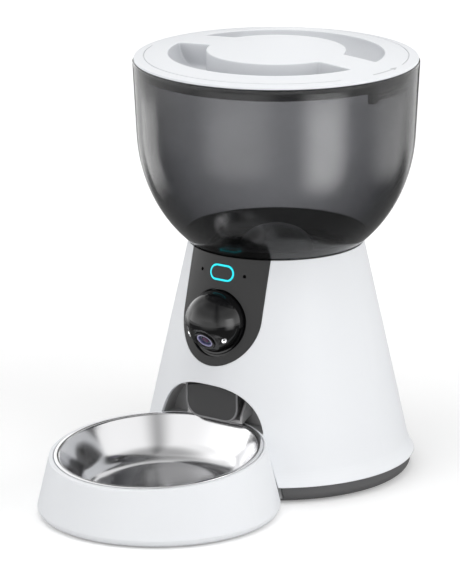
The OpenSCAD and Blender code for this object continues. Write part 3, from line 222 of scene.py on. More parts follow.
# handling marks: a noise that counts from the cover's level up, as soft smudges over a surface
def makeSmudgeGroup(s):
    group, inp, out = newGroup("handlingMarks", ["Size", "Cover"], ["Marks"])
    noise = group.nodes.new("ShaderNodeTexNoise")
    setInputs(noise, {"Detail": s["detail"], "Distortion": s["distortion"]})
    share = group.nodes.new("ShaderNodeMapRange")
    share.inputs["From Max"].default_value = s["full"]
    group.links.new(coordsOf(group), noise.inputs["Vector"])
    group.links.new(inp.outputs["Size"], noise.inputs["Scale"])
    group.links.new(inp.outputs["Cover"], share.inputs["From Min"])
    group.links.new(noise.outputs["Fac"], share.inputs["Value"])
    group.links.new(share.outputs["Result"], out.inputs["Marks"])
    return group


grainGroup = makeGrainGroup(grainSet)
smudgeGroup = makeSmudgeGroup(smudgeSet)


def newMaterial(name):
    mat = bpy.data.materials.new(name)
    mat.use_nodes = True
    tree = mat.node_tree
    return mat, tree, tree.nodes["Principled BSDF"]


def addGroup(tree, group, values):
    node = tree.nodes.new("ShaderNodeGroup")
    node.node_tree = group
    setInputs(node, values)
    return node.outputs


# a colour that drifts between two by the slow mottle, and the height of the fine grain
def grained(tree, s):
    grain = addGroup(tree, grainGroup, {"Fine": s["fine"], "Slow": s["slow"]})
    return mixColour(tree, grain["Mottle"], s["colour"], s["second"]), grain["Height"]


# roughness between two values, by the handling marks
def roughen(tree, shader, s, cover):
    marks = addGroup(tree, smudgeGroup, {"Size": s["smudge"], "Cover": cover})
    tree.links.new(ramp(tree, marks["Marks"], 0.0, 1.0, *s["rough"], ease=False), shader.inputs["Roughness"])


markCover = {"plastic": 0.45, "hard": 0.5, "clear": 0.55}   # noise under this level leaves no mark
plasticSet = {"ior": 1.5, "grainH": 0.1, "creaseSamples": 8, "edgeSamples": 6}


# a moulded plastic: mottled colour, roughness that follows the handling marks, fine grain as bump, and where
# set a painted shade that darkens the colour in hollows
def plastic(name, s):
    mat, tree, shader = newMaterial(name)
    colour, height = grained(tree, s)
    if "paintedCreaseShade" in s:   # hollows are a little darker
        # painted shade: ambient occlusion darkens the colour in the hollows
        hollow = tree.nodes.new("ShaderNodeAmbientOcclusion")
        hollow.samples = plasticSet["creaseSamples"]
        hollow.inputs["Distance"].default_value = s["creaseReach"] * mm
        shade = tree.nodes.new("ShaderNodeMix")
        shade.data_type = "RGBA"
        shade.blend_type = "MULTIPLY"
        shade.inputs["Factor"].default_value = 1.0
        tree.links.new(colour, shade.inputs["A"])
        tree.links.new(mixColour(tree, hollow.outputs["AO"], s["paintedCreaseShade"], (1, 1, 1)), shade.inputs["B"])
        colour = shade.outputs["Result"]
    tree.links.new(colour, shader.inputs["Base Color"])
    roughen(tree, shader, s, markCover["plastic"])
    bump = tree.nodes.new("ShaderNodeBump")
    setInputs(bump, {"Strength": s["bump"], "Distance": plasticSet["grainH"] * mm})
    tree.links.new(height, bump.inputs["Height"])
    tree.links.new(bump.outputs["Normal"], shader.inputs["Normal"])
    if "edge" in s:   # moulded edges are slightly round
        edge = tree.nodes.new("ShaderNodeBevel")
        edge.samples = plasticSet["edgeSamples"]
        edge.inputs["Radius"].default_value = s["edge"] * mm
        tree.links.new(edge.outputs["Normal"], bump.inputs["Normal"])
    shader.inputs["IOR"].default_value = s.get("ior", plasticSet["ior"])
    return mat


# polished or plain metal: colour and roughness vary with slow mottle and marks
def metal(name, s):
    mat, tree, shader = newMaterial(name)
    tree.links.new(grained(tree, s)[0], shader.inputs["Base Color"])
    roughen(tree, shader, s, markCover["hard"])
    shader.inputs["Metallic"].default_value = 1.0
    return mat


# smoked plastic that light passes through, under a glossy coat
def clear(name, s):
    mat, tree, shader = newMaterial(name)
    tree.links.new(grained(tree, s)[0], shader.inputs["Base Color"])
    roughen(tree, shader, s, markCover["clear"])
    setInputs(shader, {"Transmission Weight": 1.0, "IOR": s["ior"], "Coat Weight": 1.0,
                       "Coat IOR": s["coatIor"], "Coat Roughness": s["coatRough"]})
    smoke = tree.nodes.new("ShaderNodeVolumeAbsorption")   # darker where the wall is seen edge on
    setInputs(smoke, {"Color": (*s["smoke"], 1), "Density": s["density"]})
    tree.links.new(smoke.outputs[0], tree.nodes["Material Output"].inputs["Volume"])
    return mat


# a lit piece: an even glow with slow drift in its colour
def glow(name, s):
    mat, tree, shader = newMaterial(name)
    tree.links.new(grained(tree, s)[0], shader.inputs["Emission Color"])
    setInputs(shader, {"Base Color": (*s["base"], 1), "Emission Strength": s["strength"],
                       "Roughness": s["rough"]})
    return mat


# finishes that differ only in a few values share the rest
whiteSet = {"colour": (0.80, 0.815, 0.84), "second": (0.82, 0.835, 0.855), "rough": (0.52, 0.60),
            "fine": 2400, "slow": 9, "smudge": 22, "bump": 0.05, "ior": 1.34}
greySet = {"rough": (0.42, 0.52), "fine": 1800, "slow": 18, "smudge": 30, "bump": 0.15, "edge": 0.5,
           "ior": 1.4}
plastics = {
    "whiteShell": {**whiteSet, "edge": 0.8},
    # the lid's white is darkened in its wells by painted shade
    "whiteLid": {**whiteSet, "paintedCreaseShade": (0.55, 0.55, 0.56), "creaseReach": 30.0},
    "paleMark": {**whiteSet, "colour": (0.50, 0.51, 0.53), "second": (0.54, 0.55, 0.57), "rough": (0.5, 0.6)},
    "darkPanel": {
        "colour": (0.041, 0.041, 0.0413), "second": (0.047, 0.047, 0.0473), "rough": (0.42, 0.52),
        "fine": 3200, "slow": 20, "smudge": 40, "bump": 0.12, "edge": 0.5, "ior": 1.22},
    "darkPlinth": {
        "colour": (0.098, 0.098, 0.10), "second": (0.107, 0.107, 0.109), "rough": (0.42, 0.55),
        "fine": 2600, "slow": 18, "smudge": 34, "bump": 0.15, "edge": 0.6},
    "darkMould": {
        "colour": (0.040, 0.040, 0.041), "second": (0.050, 0.050, 0.051), "rough": (0.45, 0.58),
        "fine": 1800, "slow": 18, "smudge": 30, "bump": 0.2, "edge": 0.5, "ior": 1.4},
    "linerGrey": {**greySet, "colour": (0.33, 0.33, 0.333), "second": (0.36, 0.36, 0.363)},
    # painted light: the chute's grey is lighter than the liner's, standing in for light its shaded inside
    # doesn't get
    "chutePaintedLightGrey": {**greySet, "colour": (0.46, 0.46, 0.463), "second": (0.50, 0.50, 0.503)},
    # the flap rim's grey, much paler than the flap: painted edge highlight
    "rimHighlightGrey": {
        "colour": (0.17, 0.17, 0.175), "second": (0.20, 0.20, 0.205), "rough": (0.35, 0.45),
        "fine": 1800, "slow": 18, "smudge": 30, "bump": 0.15},
    "ringBlack": {
        "colour": (0.010, 0.010, 0.0105), "second": (0.014, 0.014, 0.0145), "rough": (0.36, 0.46),
        "fine": 2200, "slow": 18, "smudge": 30, "bump": 0.1, "edge": 0.4, "ior": 1.4},
    # near black with little shine, for the panel's holes and the parts behind them: painted shade
    "holeShadeBlack": {
        "colour": (0.002, 0.002, 0.002), "second": (0.003, 0.003, 0.003), "rough": (0.8, 0.9),
        "fine": 1500, "slow": 40, "smudge": 50, "bump": 0.2, "ior": 1.15},
    "glossBlack": {
        "colour": (0.004, 0.004, 0.0045), "second": (0.006, 0.006, 0.0065), "rough": (0.03, 0.07),
        "fine": 900, "slow": 30, "smudge": 60, "bump": 0.0, "ior": 1.4},
    "satinBlack": {
        "colour": (0.004, 0.004, 0.0042), "second": (0.006, 0.006, 0.0062), "rough": (0.09, 0.14),
        "fine": 2200, "slow": 30, "smudge": 60, "bump": 0.02, "edge": 0.3, "ior": 1.42},
    "softRubber": {
        "colour": (0.015, 0.015, 0.015), "second": (0.022, 0.022, 0.022), "rough": (0.7, 0.85),
        "fine": 1500, "slow": 40, "smudge": 50, "bump": 0.4},
    "boardGreen": {
        "colour": (0.02, 0.12, 0.05), "second": (0.03, 0.15, 0.07), "rough": (0.3, 0.45),
        "fine": 1200, "slow": 60, "smudge": 60, "bump": 0.1},
}
metals = {
    "polishedSteel": {
        "colour": (0.70, 0.70, 0.71), "second": (0.75, 0.75, 0.76), "rough": (0.15, 0.19),
        "fine": 900, "slow": 12, "smudge": 18},
    "plainSteel": {
        "colour": (0.5, 0.5, 0.51), "second": (0.58, 0.58, 0.59), "rough": (0.28, 0.4),
        "fine": 900, "slow": 40, "smudge": 60},
    "brassMetal": {
        "colour": (0.72, 0.5, 0.2), "second": (0.78, 0.56, 0.24), "rough": (0.25, 0.35),
        "fine": 900, "slow": 40, "smudge": 60},
    "lampCup": {
        "colour": (0.86, 0.86, 0.87), "second": (0.92, 0.92, 0.93), "rough": (0.16, 0.24),
        "fine": 900, "slow": 90, "smudge": 120},
}
smokeSet = {
    "colour": (0.93, 0.93, 0.935), "second": (0.97, 0.97, 0.975), "rough": (0.0, 0.02),
    "fine": 800, "slow": 6, "smudge": 16, "ior": 1.03, "coatIor": 1.5, "coatRough": 0.15,
    "smoke": (0.30, 0.305, 0.325), "density": 540.0}
cyanSet = {
    "colour": (0.0, 0.83, 0.98), "second": (0.0, 0.88, 1.0), "base": (0.0, 0.05, 0.06),
    "fine": 900, "slow": 60, "rough": 0.4, "strength": 1.0}
finishes = {name: plastic(name, s) for name, s in plastics.items()}
finishes.update({name: metal(name, s) for name, s in metals.items()})
finishes["smokedClear"] = clear("smokedClear", smokeSet)
finishes["cyanGlow"] = glow("cyanGlow", cyanSet)

# the nodes that are shown as they come
nodeFinish = {
    "whiteShell": ["body_shell", "bowl_tray", "drive_gear"],
    "darkPanel": ["front_panel", "feed_button"],
    "darkPlinth": ["base_cover"],
    # painted light: the food chute's lightened grey
    "chutePaintedLightGrey": ["food_chute"],
    "darkMould": ["outlet_flap", "rotor_pan", "feed_rotor", "gear_plate"],
    "linerGrey": ["outlet_liner"],
    "ringBlack": ["hopper_funnel", "lid_ring"],
    # painted shade: the parts behind the panel's holes are near black so that the holes read dark
    "holeShadeBlack": ["microphone", "status_lamp"],
    "glossBlack": ["camera_socket", "board_parts", "speaker", "power_socket"],
    "satinBlack": ["camera_head"],
    "softRubber": ["foot_ring", "lid_seal", "tray_feet"],
    "boardGreen": ["button_board", "main_board"],
    "plainSteel": ["base_screws", "pan_motor", "flap_pin", "pan_screws", "output_shaft", "drive_motor",
                   "board_screws"],
    "brassMetal": ["shaft_bush", "motor_pinion"],
}
for finish, names in nodeFinish.items():
    for name in names:
        for slot in nodes[name].material_slots:
            slot.material = finishes[finish]
print("finishes on", sum(len(n) for n in nodeFinish.values()), "nodes")

# hopper: superellipse that turns straight, wall by inset, rounded rim, neck below, two lugs inside
hopperSet = {
    "r": 101.0, "topZ": 296.5, "turnZ": 244.8, "closeZ": 144.2, "draft": 0.05, "power": 2.15, "wall": 2.5,
    "seatZ": 162.0, "neckR": 49.2, "neckWall": 2.4, "neckZ": 157.0, "neckEdge": 0.5, "neckGap": 0.15,
    "rimRound": 0.9, "rimTurn": (12, 168), "rimRows": 9, "rows": 90, "crowd": 1.6, "steps": 192,
    "lugTop": 287.9, "lugH": 2.6, "lugReach": 3.2, "lugSink": 0.3, "lugSpan": 24.0, "lugSteps": 24,
    "lugAt": (34.5, 214.5),
}


# radius of the hopper at a height, inset from the outside
def hopperRadius(s, z, inset):
    u = np.clip((s["turnZ"] - z) / (s["turnZ"] - s["closeZ"] - inset), 0, 1)
    return (s["r"] - inset) * (1 - u ** s["power"]) ** (1 / s["power"]) - s["draft"] * (s["topZ"] - z)


# one closed profile turned about the axis: neck, outside upward, rim, inside downward; rows crowd to the seat
def makeHopper(s):
    t = np.linspace(0, 1, s["rows"]) ** s["crowd"]
    z = s["seatZ"] + (s["topZ"] - s["rimRound"] - s["seatZ"]) * t
    outer = np.stack([hopperRadius(s, z, 0), z], -1)
    inner = np.stack([hopperRadius(s, z, s["wall"]), z], -1)
    inner = inner[inner[:, 0] > s["neckR"] + s["neckGap"]]
    mid = (outer[-1, 0] + inner[-1, 0]) / 2
    half = (outer[-1, 0] - inner[-1, 0]) / 2
    rim = arc((0, 0), 1, *s["rimTurn"], s["rimRows"]) * [half, s["rimRound"]]
    rim = rim + [mid, s["topZ"] - s["rimRound"]]
    neckIn, neckOut, neckZ, edge = s["neckR"], s["neckR"] + s["neckWall"], s["neckZ"], s["neckEdge"]
    neck = np.array([[neckIn, inner[0, 1]], [neckIn, neckZ + edge], [neckIn + edge, neckZ],
                     [neckOut - edge, neckZ], [neckOut, neckZ + edge], [neckOut, s["seatZ"]]])
    profile = np.concatenate([neck, outer, rim, inner[::-1]]) * mm
    parts = [revolve(profile, s["steps"])]
    base = s["lugTop"] - s["lugH"]
    wallR = float(hopperRadius(s, base, s["wall"]))
    lugIn, lugOut = wallR - s["lugReach"], wallR + s["lugSink"]
    lug = np.array([[lugIn, base], [lugOut, base], [lugOut, s["lugTop"]], [lugIn, s["lugTop"]]]) * mm
    for at in s["lugAt"]:
        parts.append(closedSweep(lug, s["lugSteps"], at - s["lugSpan"] / 2, s["lugSpan"]))
    obj = addObject("hopperClear", parts, finishes["smokedClear"])
    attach(obj, "hopper")
    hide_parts("hopper_shell")


makeHopper(hopperSet)
print("hopper made")

# lid cover: crowned plate, two finger wells sunk in it, rounded edge, skirt below, turned lines near the edge
lidSet = {
    "r": 100.2, "lowZ": 296.8, "topZ": 304.6, "crown": 6.0, "power": 2.6, "wall": 2.4,
    "round": 0.9, "roundRows": 7, "skirtR": 94.78, "skirtWall": 2.4, "skirtZ": 290.1, "ease": 0.3,
    "halfR": 90.0, "seamR": 44.0, "wellIn": 49.0, "wellOut": 76.0, "wellFloorR": 62.0, "wellFloorZ": 285.1,
    "bar": 14.5, "corner": 3.2, "cornerGrow": 0.5, "tip": 1.2, "edge": 0.8, "foot": 3.5, "footH": 17.0,
    "middleR": 57.0, "spineFrom": 27.0, "thinAt": 14.0, "least": 0.02, "floorShares": (0.35, 0.7), "barIn": 5,
    "crownRows": 9, "edgeFrom": 15, "edgeRows": 6, "wallRows": 20, "wallCrowd": 0.8,
    "barSteps": 8, "cornerSteps": 5, "arcSteps": 180, "bandIn": 91.5, "bandOut": (95.0, 97.0, 98.3),
    "lineR": 93.0, "lineHalf": 0.4, "lineFlat": 0.6, "lineDepth": 0.5, "lineFrom": 197, "lineSpan": 137,
    "arrowFrom": 352.0, "arrowTo": 370.0, "arrowHead": 4.0, "arrowHalf": 0.45, "arrowHeadHalf": 1.9,
    "arrowLift": 0.12, "arrowSink": 0.3, "arrowSteps": (30, 20),
}


# height of the crown: it falls from the middle by a power of the radius
def crownZ(s, r):
    return s["topZ"] - s["crown"] * (r / s["r"]) ** s["power"]


# plan outline of a well: a straight end beside the grip bar, a rounded corner, the outer arc, then back by
# the other end and the inner arc
def wellLoop(s, rIn, rOut, bar, corner, tip):
    xi = math.sqrt((rIn + corner) ** 2 - (bar + corner) ** 2)
    xo = math.sqrt((rOut - tip) ** 2 - (bar + tip) ** 2)
    ai, ao = math.degrees(math.atan2(bar + corner, xi)), math.degrees(math.atan2(bar + tip, xo))
    straight = np.stack([np.linspace(xi, xo, s["barSteps"] + 1), np.full(s["barSteps"] + 1, bar)], -1)
    outCorner = arc((xo, bar + tip), tip, -90, ao, s["cornerSteps"] + 1)
    inCorner = arc((xi, bar + corner), corner, 180 + ai, 270, s["cornerSteps"] + 1)
    outArc = arc((0, 0), rOut, ao, 180 - ao, s["arcSteps"] + 1)
    inArc = arc((0, 0), rIn, 180 - ai, ai, s["arcSteps"] + 1)
    flip = np.array([-1, 1])
    runs = [straight, outCorner, outArc, outCorner[::-1] * flip, straight[::-1] * flip, inCorner[::-1] * flip,
            inArc, inCorner]
    return np.concatenate([run[:-1] for run in runs])


# half a disc, its points in step with those of a well's outline: the diameter faces the grip, the rim the
# outer arc
def halfLoop(s, r, middle):
    straight = np.stack([np.linspace(middle, r, s["barSteps"] + 1), np.zeros(s["barSteps"] + 1)], -1)
    corner = np.repeat([[r, 0.0]], s["cornerSteps"] + 1, 0)
    inner = np.repeat([[middle, 0.0]], s["cornerSteps"] + 1, 0)
    rim = arc((0, 0), r, 0, 180, s["arcSteps"] + 1)
    across = arc((0, 0), middle, 180, 0, s["arcSteps"] + 1) * [1, 0]
    flip = np.array([-1, 1])
    runs = [straight, corner, rim, corner * flip, straight[::-1] * flip, inner * flip, across, inner]
    return np.concatenate([run[:-1] for run in runs])


# one face of half the lid: ruled from the half disc to the well's edge along the crown, then down the well's
# walls, whose outer side is a quarter ellipse, round its foot and in to the middle of its floor
def wellFace(s, grow, edge, discR):
    def at(rIn, rOut, bar):
        thin = min(1.0, (rOut - rIn) / s["thinAt"])   # a narrow outline has smaller corners
        corner = (s["corner"] + grow * s["cornerGrow"]) * thin + s["least"]
        return wellLoop(s, rIn, rOut, bar, corner, (s["tip"] + grow) * thin + s["least"])

    rIn, rOut, bar = s["wellIn"] - grow, s["wellOut"] + grow, s["bar"] - grow
    floorR, floorZ, foot, midR = s["wellFloorR"], s["wellFloorZ"] - grow, s["foot"], s["middleR"]
    rows = []
    disc, top = halfLoop(s, discR, s["seamR"]), at(rIn - edge, rOut + edge, bar - edge)
    for share in np.linspace(0, 1, s["crownRows"]):
        plan = disc * (1 - share) + top * share
        rows.append((plan, crownZ(s, np.hypot(*plan.T)) - grow))
    for turn in np.radians(np.linspace(s["edgeFrom"], 90, s["edgeRows"]) if edge else []):
        out = edge * (1 - math.sin(turn))
        plan = at(rIn - out, rOut + out, bar - out)
        rows.append((plan, crownZ(s, np.hypot(*plan.T)) - grow - edge * (1 - math.cos(turn))))
    for down in np.linspace(0, 1, s["wallRows"])[1:] ** s["wallCrowd"]:
        side = floorR + (rOut - floorR) * math.sqrt(1 - down ** 2)
        depth = max(0.0, 1 - (1 - down) * s["footH"] / foot)   # the last part turns into the floor
        inset = foot * (1 - math.sqrt(1 - depth ** 2))
        plan = at(rIn + inset, max(side, floorR), bar + inset)
        head = crownZ(s, np.hypot(*plan.T)) - grow - edge
        rows.append((plan, head * (1 - down) + floorZ * down))
    lowIn, lowBar = rIn + foot, bar + foot
    for share in s["floorShares"]:
        plan = at(lowIn + (midR - lowIn) * share, floorR + (midR - floorR) * share,
                  lowBar + s["barIn"] * share)
        rows.append((plan, np.full(len(plan), floorZ)))
    spine = arc((0, 0), midR, s["spineFrom"], 180 - s["spineFrom"], s["arcSteps"] + 1)
    b, c = s["barSteps"], s["cornerSteps"]
    plan = np.concatenate([np.repeat(spine[:1], b + c, 0), spine[:-1], np.repeat(spine[-1:], b + 2 * c, 0),
                           spine[:0:-1], np.repeat(spine[:1], c, 0)])
    rows.append((plan, np.full(len(plan), floorZ)))
    points = np.stack([np.column_stack(row) for row in rows])
    return gridMesh(points * mm, False, True)


# the lid's rim carried round: crown with two turned lines, rounded edge, underside and skirt
def rimBand(s):
    line, half, ease, flat = s["lineR"], s["lineHalf"], s["ease"], s["lineHalf"] * s["lineFlat"]
    radii = np.array([s["halfR"], s["bandIn"], line - half, line - flat, line + flat, line + half,
                      *s["bandOut"]])
    faceR, lowZ, skirtR, skirtZ = s["r"] - s["round"], s["lowZ"], s["skirtR"], s["skirtZ"]
    top = np.stack([radii, crownZ(s, radii)], -1)
    edge = arc((faceR, crownZ(s, faceR) - s["round"]), s["round"], 90, 0, s["roundRows"])
    skirtIn = skirtR - s["skirtWall"]
    under = np.array([[s["r"], lowZ + ease], [s["r"] - ease, lowZ], [skirtR, lowZ], [skirtR, skirtZ + ease],
                      [skirtR - ease, skirtZ], [skirtIn + ease, skirtZ], [skirtIn, skirtZ + ease],
                      [skirtIn, crownZ(s, skirtIn) - s["wall"]]])
    profile = np.concatenate([top, edge, under])
    angles = np.arange(2 * s["arcSteps"]) * 180.0 / s["arcSteps"]
    r, z = profile[:, 0][:, None], profile[:, 1][:, None] + 0 * angles
    inLine = ((angles - s["lineFrom"]) % 180) <= s["lineSpan"]
    z[3:5] -= s["lineDepth"] * inLine   # the two middle points of the line
    a = np.radians(angles)
    return gridMesh(np.stack([r * np.cos(a), r * np.sin(a), z], -1) * mm, False, True)


# plain arrow between the two lines: a strip along the arc that widens to a head and ends in a point
def arrowStrip(s):
    tip, neck = s["arrowTo"], s["arrowTo"] - s["arrowHead"]
    stemSteps, headSteps = s["arrowSteps"]
    a = np.concatenate([np.linspace(s["arrowFrom"], neck, stemSteps),
                        np.linspace(neck + s["least"], tip, headSteps)])
    head = np.clip((tip - a) / s["arrowHead"], 0, 1)
    half = np.where(a > neck, s["arrowHeadHalf"] * head + s["least"], s["arrowHalf"])
    sink = -s["arrowSink"]
    sides = np.array([[-1, sink], [-1, 1], [1, 1], [1, sink]])   # across the strip, and its height
    r = s["lineR"] + half[:, None] * sides[None, :, 0]
    z = crownZ(s, r) + s["arrowLift"] * sides[None, :, 1]
    t = np.radians(a)[:, None]
    verts, faces = gridMesh(np.stack([r * np.cos(t), r * np.sin(t), z], -1) * mm, False, True)
    last = 4 * (len(a) - 1)
    return verts, np.concatenate([faces, [[0, 1, 2, 3], [last, last + 1, last + 2, last + 3]]])


# upper and lower face of one half, turned half round for the other, and the rim between them
def makeLid(s):
    skirtIn = s["skirtR"] - s["skirtWall"]
    halves = [wellFace(s, 0.0, s["edge"], s["halfR"]), wellFace(s, s["wall"], 0.0, skirtIn)]
    parts = [rimBand(s)] + halves + [(v * [-1, -1, 1], f) for v, f in halves]
    cover = addObject("lidCover", parts, finishes["whiteLid"], 35)
    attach(cover, "lid")
    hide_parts("lid_cover")
    arrow = addObject("lidArrow", [arrowStrip(s)], finishes["paleMark"])
    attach(arrow, "lid")


makeLid(lidSet)
print("lid made")

# steel bowl in its tilted seat: floor, wide bend, leaning wall, rolled lip, flange
bowlSet = {
    "axisY": -137.5, "rimZ": 44.6, "tilt": 4.5, "raise": -0.35, "r": 72.57, "mouthR": 68.37, "floorR": 39.37,
    "depth": 27.0, "steel": 0.8, "bendR": 22.0, "lipR": 2.0,
    "floorRows": 13, "bendRows": 40, "lipRows": 16, "edgeRows": 7, "steps": 192,
}


# face of the sheet from the bowl's middle to its flange, offset to either side: a flat floor, an arc that
# turns until the line that touches both arcs, and the lip's arc back to level
def bowlLine(s, off):
    across = s["mouthR"] + s["lipR"] - s["floorR"]
    up = s["depth"] - s["bendR"] + s["steel"] - s["lipR"]
    turn = math.atan2(up, across) + math.asin((s["bendR"] + s["lipR"]) / math.hypot(across, up))
    t = np.linspace(0, turn, s["bendRows"])
    bend = np.stack([s["floorR"] + (s["bendR"] + off) * np.sin(t),
                     -s["depth"] + s["bendR"] - (s["bendR"] + off) * np.cos(t)], -1)
    u = np.linspace(turn, 0, s["lipRows"])
    lip = np.stack([s["mouthR"] + s["lipR"] - (s["lipR"] - off) * np.sin(u),
                    s["steel"] - s["lipR"] + (s["lipR"] - off) * np.cos(u)], -1)
    rows = s["floorRows"]
    floor = np.stack([np.linspace(0, s["floorR"], rows + 1)[:-1], np.full(rows, -s["depth"] - off)], -1)
    return np.concatenate([floor, bend, lip])


# raised along its own axis, tipped about X, then moved to the seat
def inBowl(s, points):
    a = math.radians(s["tilt"])
    y, z = points[:, 1].copy(), points[:, 2] + s["raise"] * mm
    points[:, 1] = y * math.cos(a) - z * math.sin(a) + s["axisY"] * mm
    points[:, 2] = y * math.sin(a) + z * math.cos(a) + s["rimZ"] * mm
    return points


# inner face, half round edge of the flange and outer face, turned about the bowl's axis
def makeBowl(s):
    edge = arc((s["r"] - s["steel"] / 2, s["steel"] / 2), s["steel"] / 2, 90, -90, s["edgeRows"])
    profile = np.concatenate([bowlLine(s, 0), edge, bowlLine(s, s["steel"])[::-1]]) * mm
    verts, faces = revolve(profile, s["steps"], closeProfile=False)
    obj = addObject("bowlSteel", [(inBowl(s, verts), faces)], finishes["polishedSteel"])
    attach(obj, "bowl")
    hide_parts("steel_bowl")


makeBowl(bowlSet)
print("bowl made")

# camera hood: part of a thin ball swept about the tilt axis, with its tilt pins and pan shaft
hoodSet = {
    "y": -70.0196, "z": 121.0, "r": 22.5, "wall": 1.2, "capR": 6.0, "edgeDrop": 0.5, "rows": 72, "steps": 160,
    "pinR": 1.4, "pinL": 2.0, "shaftR": 1.2, "shaftZ": 88.8, "barEase": 0.15, "barSteps": 32,
}


# round bar along Z from one height to another, its ends closed and their edges eased
def roundBar(s, r, z0, z1):
    e = s["barEase"]
    profile = np.array([[0, z0], [r - e, z0], [r, z0 + e], [r, z1 - e], [r - e, z1], [0, z1]]) * mm
    return revolve(profile, s["barSteps"], closeProfile=False)


# two half circles, the ball's outside and inside, swept from under its front edge over the top to its foot
def makeHood(s):
    under = math.degrees(math.asin(s["capR"] / s["r"]))
    front = math.degrees(math.asin(s["edgeDrop"] / s["r"]))
    pole = np.degrees(math.acos(s["pinR"] / 2 / s["r"]))
    outer = arc((0, 0), s["r"], -pole, pole, s["rows"])
    inner = arc((0, 0), s["r"] - s["wall"], pole, -pole, s["rows"])
    steps, half = s["steps"], s["rows"]
    verts, faces = revolve(np.concatenate([outer, inner]) * mm, steps, -under, under + 270 + front)
    caps = []
    for ring in (np.arange(2 * half) * steps, np.arange(2 * half) * steps + steps - 1):   # the two flat ends
        a, b = ring[:half], ring[half:][::-1]
        caps.append(np.stack([a[:-1], a[1:], b[1:], b[:-1]], -1))
    faces = np.concatenate([faces] + caps)
    parts = [(verts[:, [2, 1, 0]] * [1, 1, -1], faces)]   # the sweep's axis Z lies along X
    inside = s["r"] - s["wall"] - s["pinL"]
    for side in (-1, 1):
        pin, pinFaces = roundBar(s, s["pinR"], inside, s["r"] - s["wall"] / 2)
        parts.append((pin[:, [2, 1, 0]] * [side, 1, -1], pinFaces))
    parts.append(roundBar(s, s["shaftR"], s["shaftZ"] - s["z"], s["wall"] / 2 - s["r"]))
    parts = [(v + np.array([0, s["y"], s["z"]]) * mm, f) for v, f in parts]
    obj = addObject("hoodGloss", parts, finishes["glossBlack"])
    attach(obj, "hood")
    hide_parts("camera_hood")


makeHood(hoodSet)
print("hood made")

# lens in the camera's head: stepped barrel, coated rim and dome, two lamp cups at its sides
lensSet = {
    "y": -70.0196, "z": 121.0, "down": 36.0, "face": 17.5, "ballR": 20.9, "lampSide": 46.0,
    "barrel": [(0, -5), (7.3, -5), (7.3, 0), (8.2, 0), (8.2, 0.8), (8.0, 1.0), (7.65, 1.0), (7.55, 0.8),
               (7.15, 0.8), (7.05, 0.55), (6.7, 0.55), (6.6, 0.35), (6.3, 0.35), (6.22, 0.15), (6.22, -2.4),
               (0, -2.4)],
    "rim": [(0, -2.2), (6.1, -2.2), (6.1, 0.2), (5.95, 0.42), (5.6, 0.5), (5.2, 0.4), (4.95, 0.1),
            (4.5, -0.4), (4.0, -0.8), (3.5, -1.05), (3.3, -1.05)],
    "domeR": 3.25, "domeLow": -1.0, "domeRise": 0.75, "domeRows": 14, "steps": 96, "lampSteps": 40,
    "cup": [(0, -2.3), (2.0, -2.3), (2.0, 0.3), (1.85, 0.5), (1.6, 0.5), (1.4, 0.25), (1.1, -0.4),
            (0.7, -0.7), (0, -0.8)],
    "chip": [(0.62, -0.75), (0.6, -0.45), (0.45, -0.2), (0.25, -0.12), (0, -0.1)],
    "coatR": 6.2, "smudge": 300.0, "rough": (0.03, 0.06), "ior": 1.4,
    "coat": [   # share of the coat's radius, and colour: plum dome, teal edge, dark cone, lilac rim
        (0.0, (0.05, 0.02, 0.05)), (0.12, (0.03, 0.006, 0.03)), (0.28, (0.10, 0.01, 0.08)),
        (0.42, (0.012, 0.008, 0.02)), (0.50, (0.03, 0.02, 0.05)), (0.545, (0.14, 0.22, 0.23)),
        (0.60, (0.02, 0.025, 0.06)), (0.74, (0.03, 0.03, 0.10)), (0.80, (0.15, 0.14, 0.30)),
        (0.86, (0.42, 0.40, 0.62)), (0.95, (0.50, 0.46, 0.66)), (1.0, (0.02, 0.02, 0.03)),
    ],
}


# from the lens's own axis, local Z out of the lens, to the frame: turned sideways, tipped down, moved to the
# ball
def fromLens(s, points, out, side=0.0):
    x, y, z = points[:, 0], points[:, 1], points[:, 2] + out * mm
    a, t = math.radians(side), math.radians(90 + s["down"])
    x, z = x * math.cos(a) + z * math.sin(a), z * math.cos(a) - x * math.sin(a)
    y, z = y * math.cos(t) - z * math.sin(t), y * math.sin(t) + z * math.cos(t)
    return np.stack([x, y + s["y"] * mm, z + s["z"] * mm], -1)


# colour by the distance from the lens's axis
def coatedGlass(name, s):
    mat, tree, shader = newMaterial(name)
    local = tree.nodes.new("ShaderNodeMapping")
    local.vector_type = "TEXTURE"
    setInputs(local, {"Location": (0, s["y"] * mm, s["z"] * mm),
                      "Rotation": (math.radians(90 + s["down"]), 0, 0)})
    tree.links.new(coordsOf(tree), local.inputs["Vector"])
    reach = vectorNode(tree, "LENGTH", vectorNode(tree, "MULTIPLY", local.outputs["Vector"], (1, 1, 0)))
    bands = tree.nodes.new("ShaderNodeValToRGB")
    elements = bands.color_ramp.elements   # it comes with one at each end
    for place, colour in s["coat"][1:-1]:
        elements.new(place)
    for element, (place, colour) in zip(elements, s["coat"]):
        element.color = (*colour, 1)
    tree.links.new(ramp(tree, reach, 0.0, s["coatR"] * mm, ease=False), bands.inputs["Fac"])
    tree.links.new(bands.outputs["Color"], shader.inputs["Base Color"])
    roughen(tree, shader, s, markCover["hard"])
    shader.inputs["IOR"].default_value = s["ior"]
    return mat


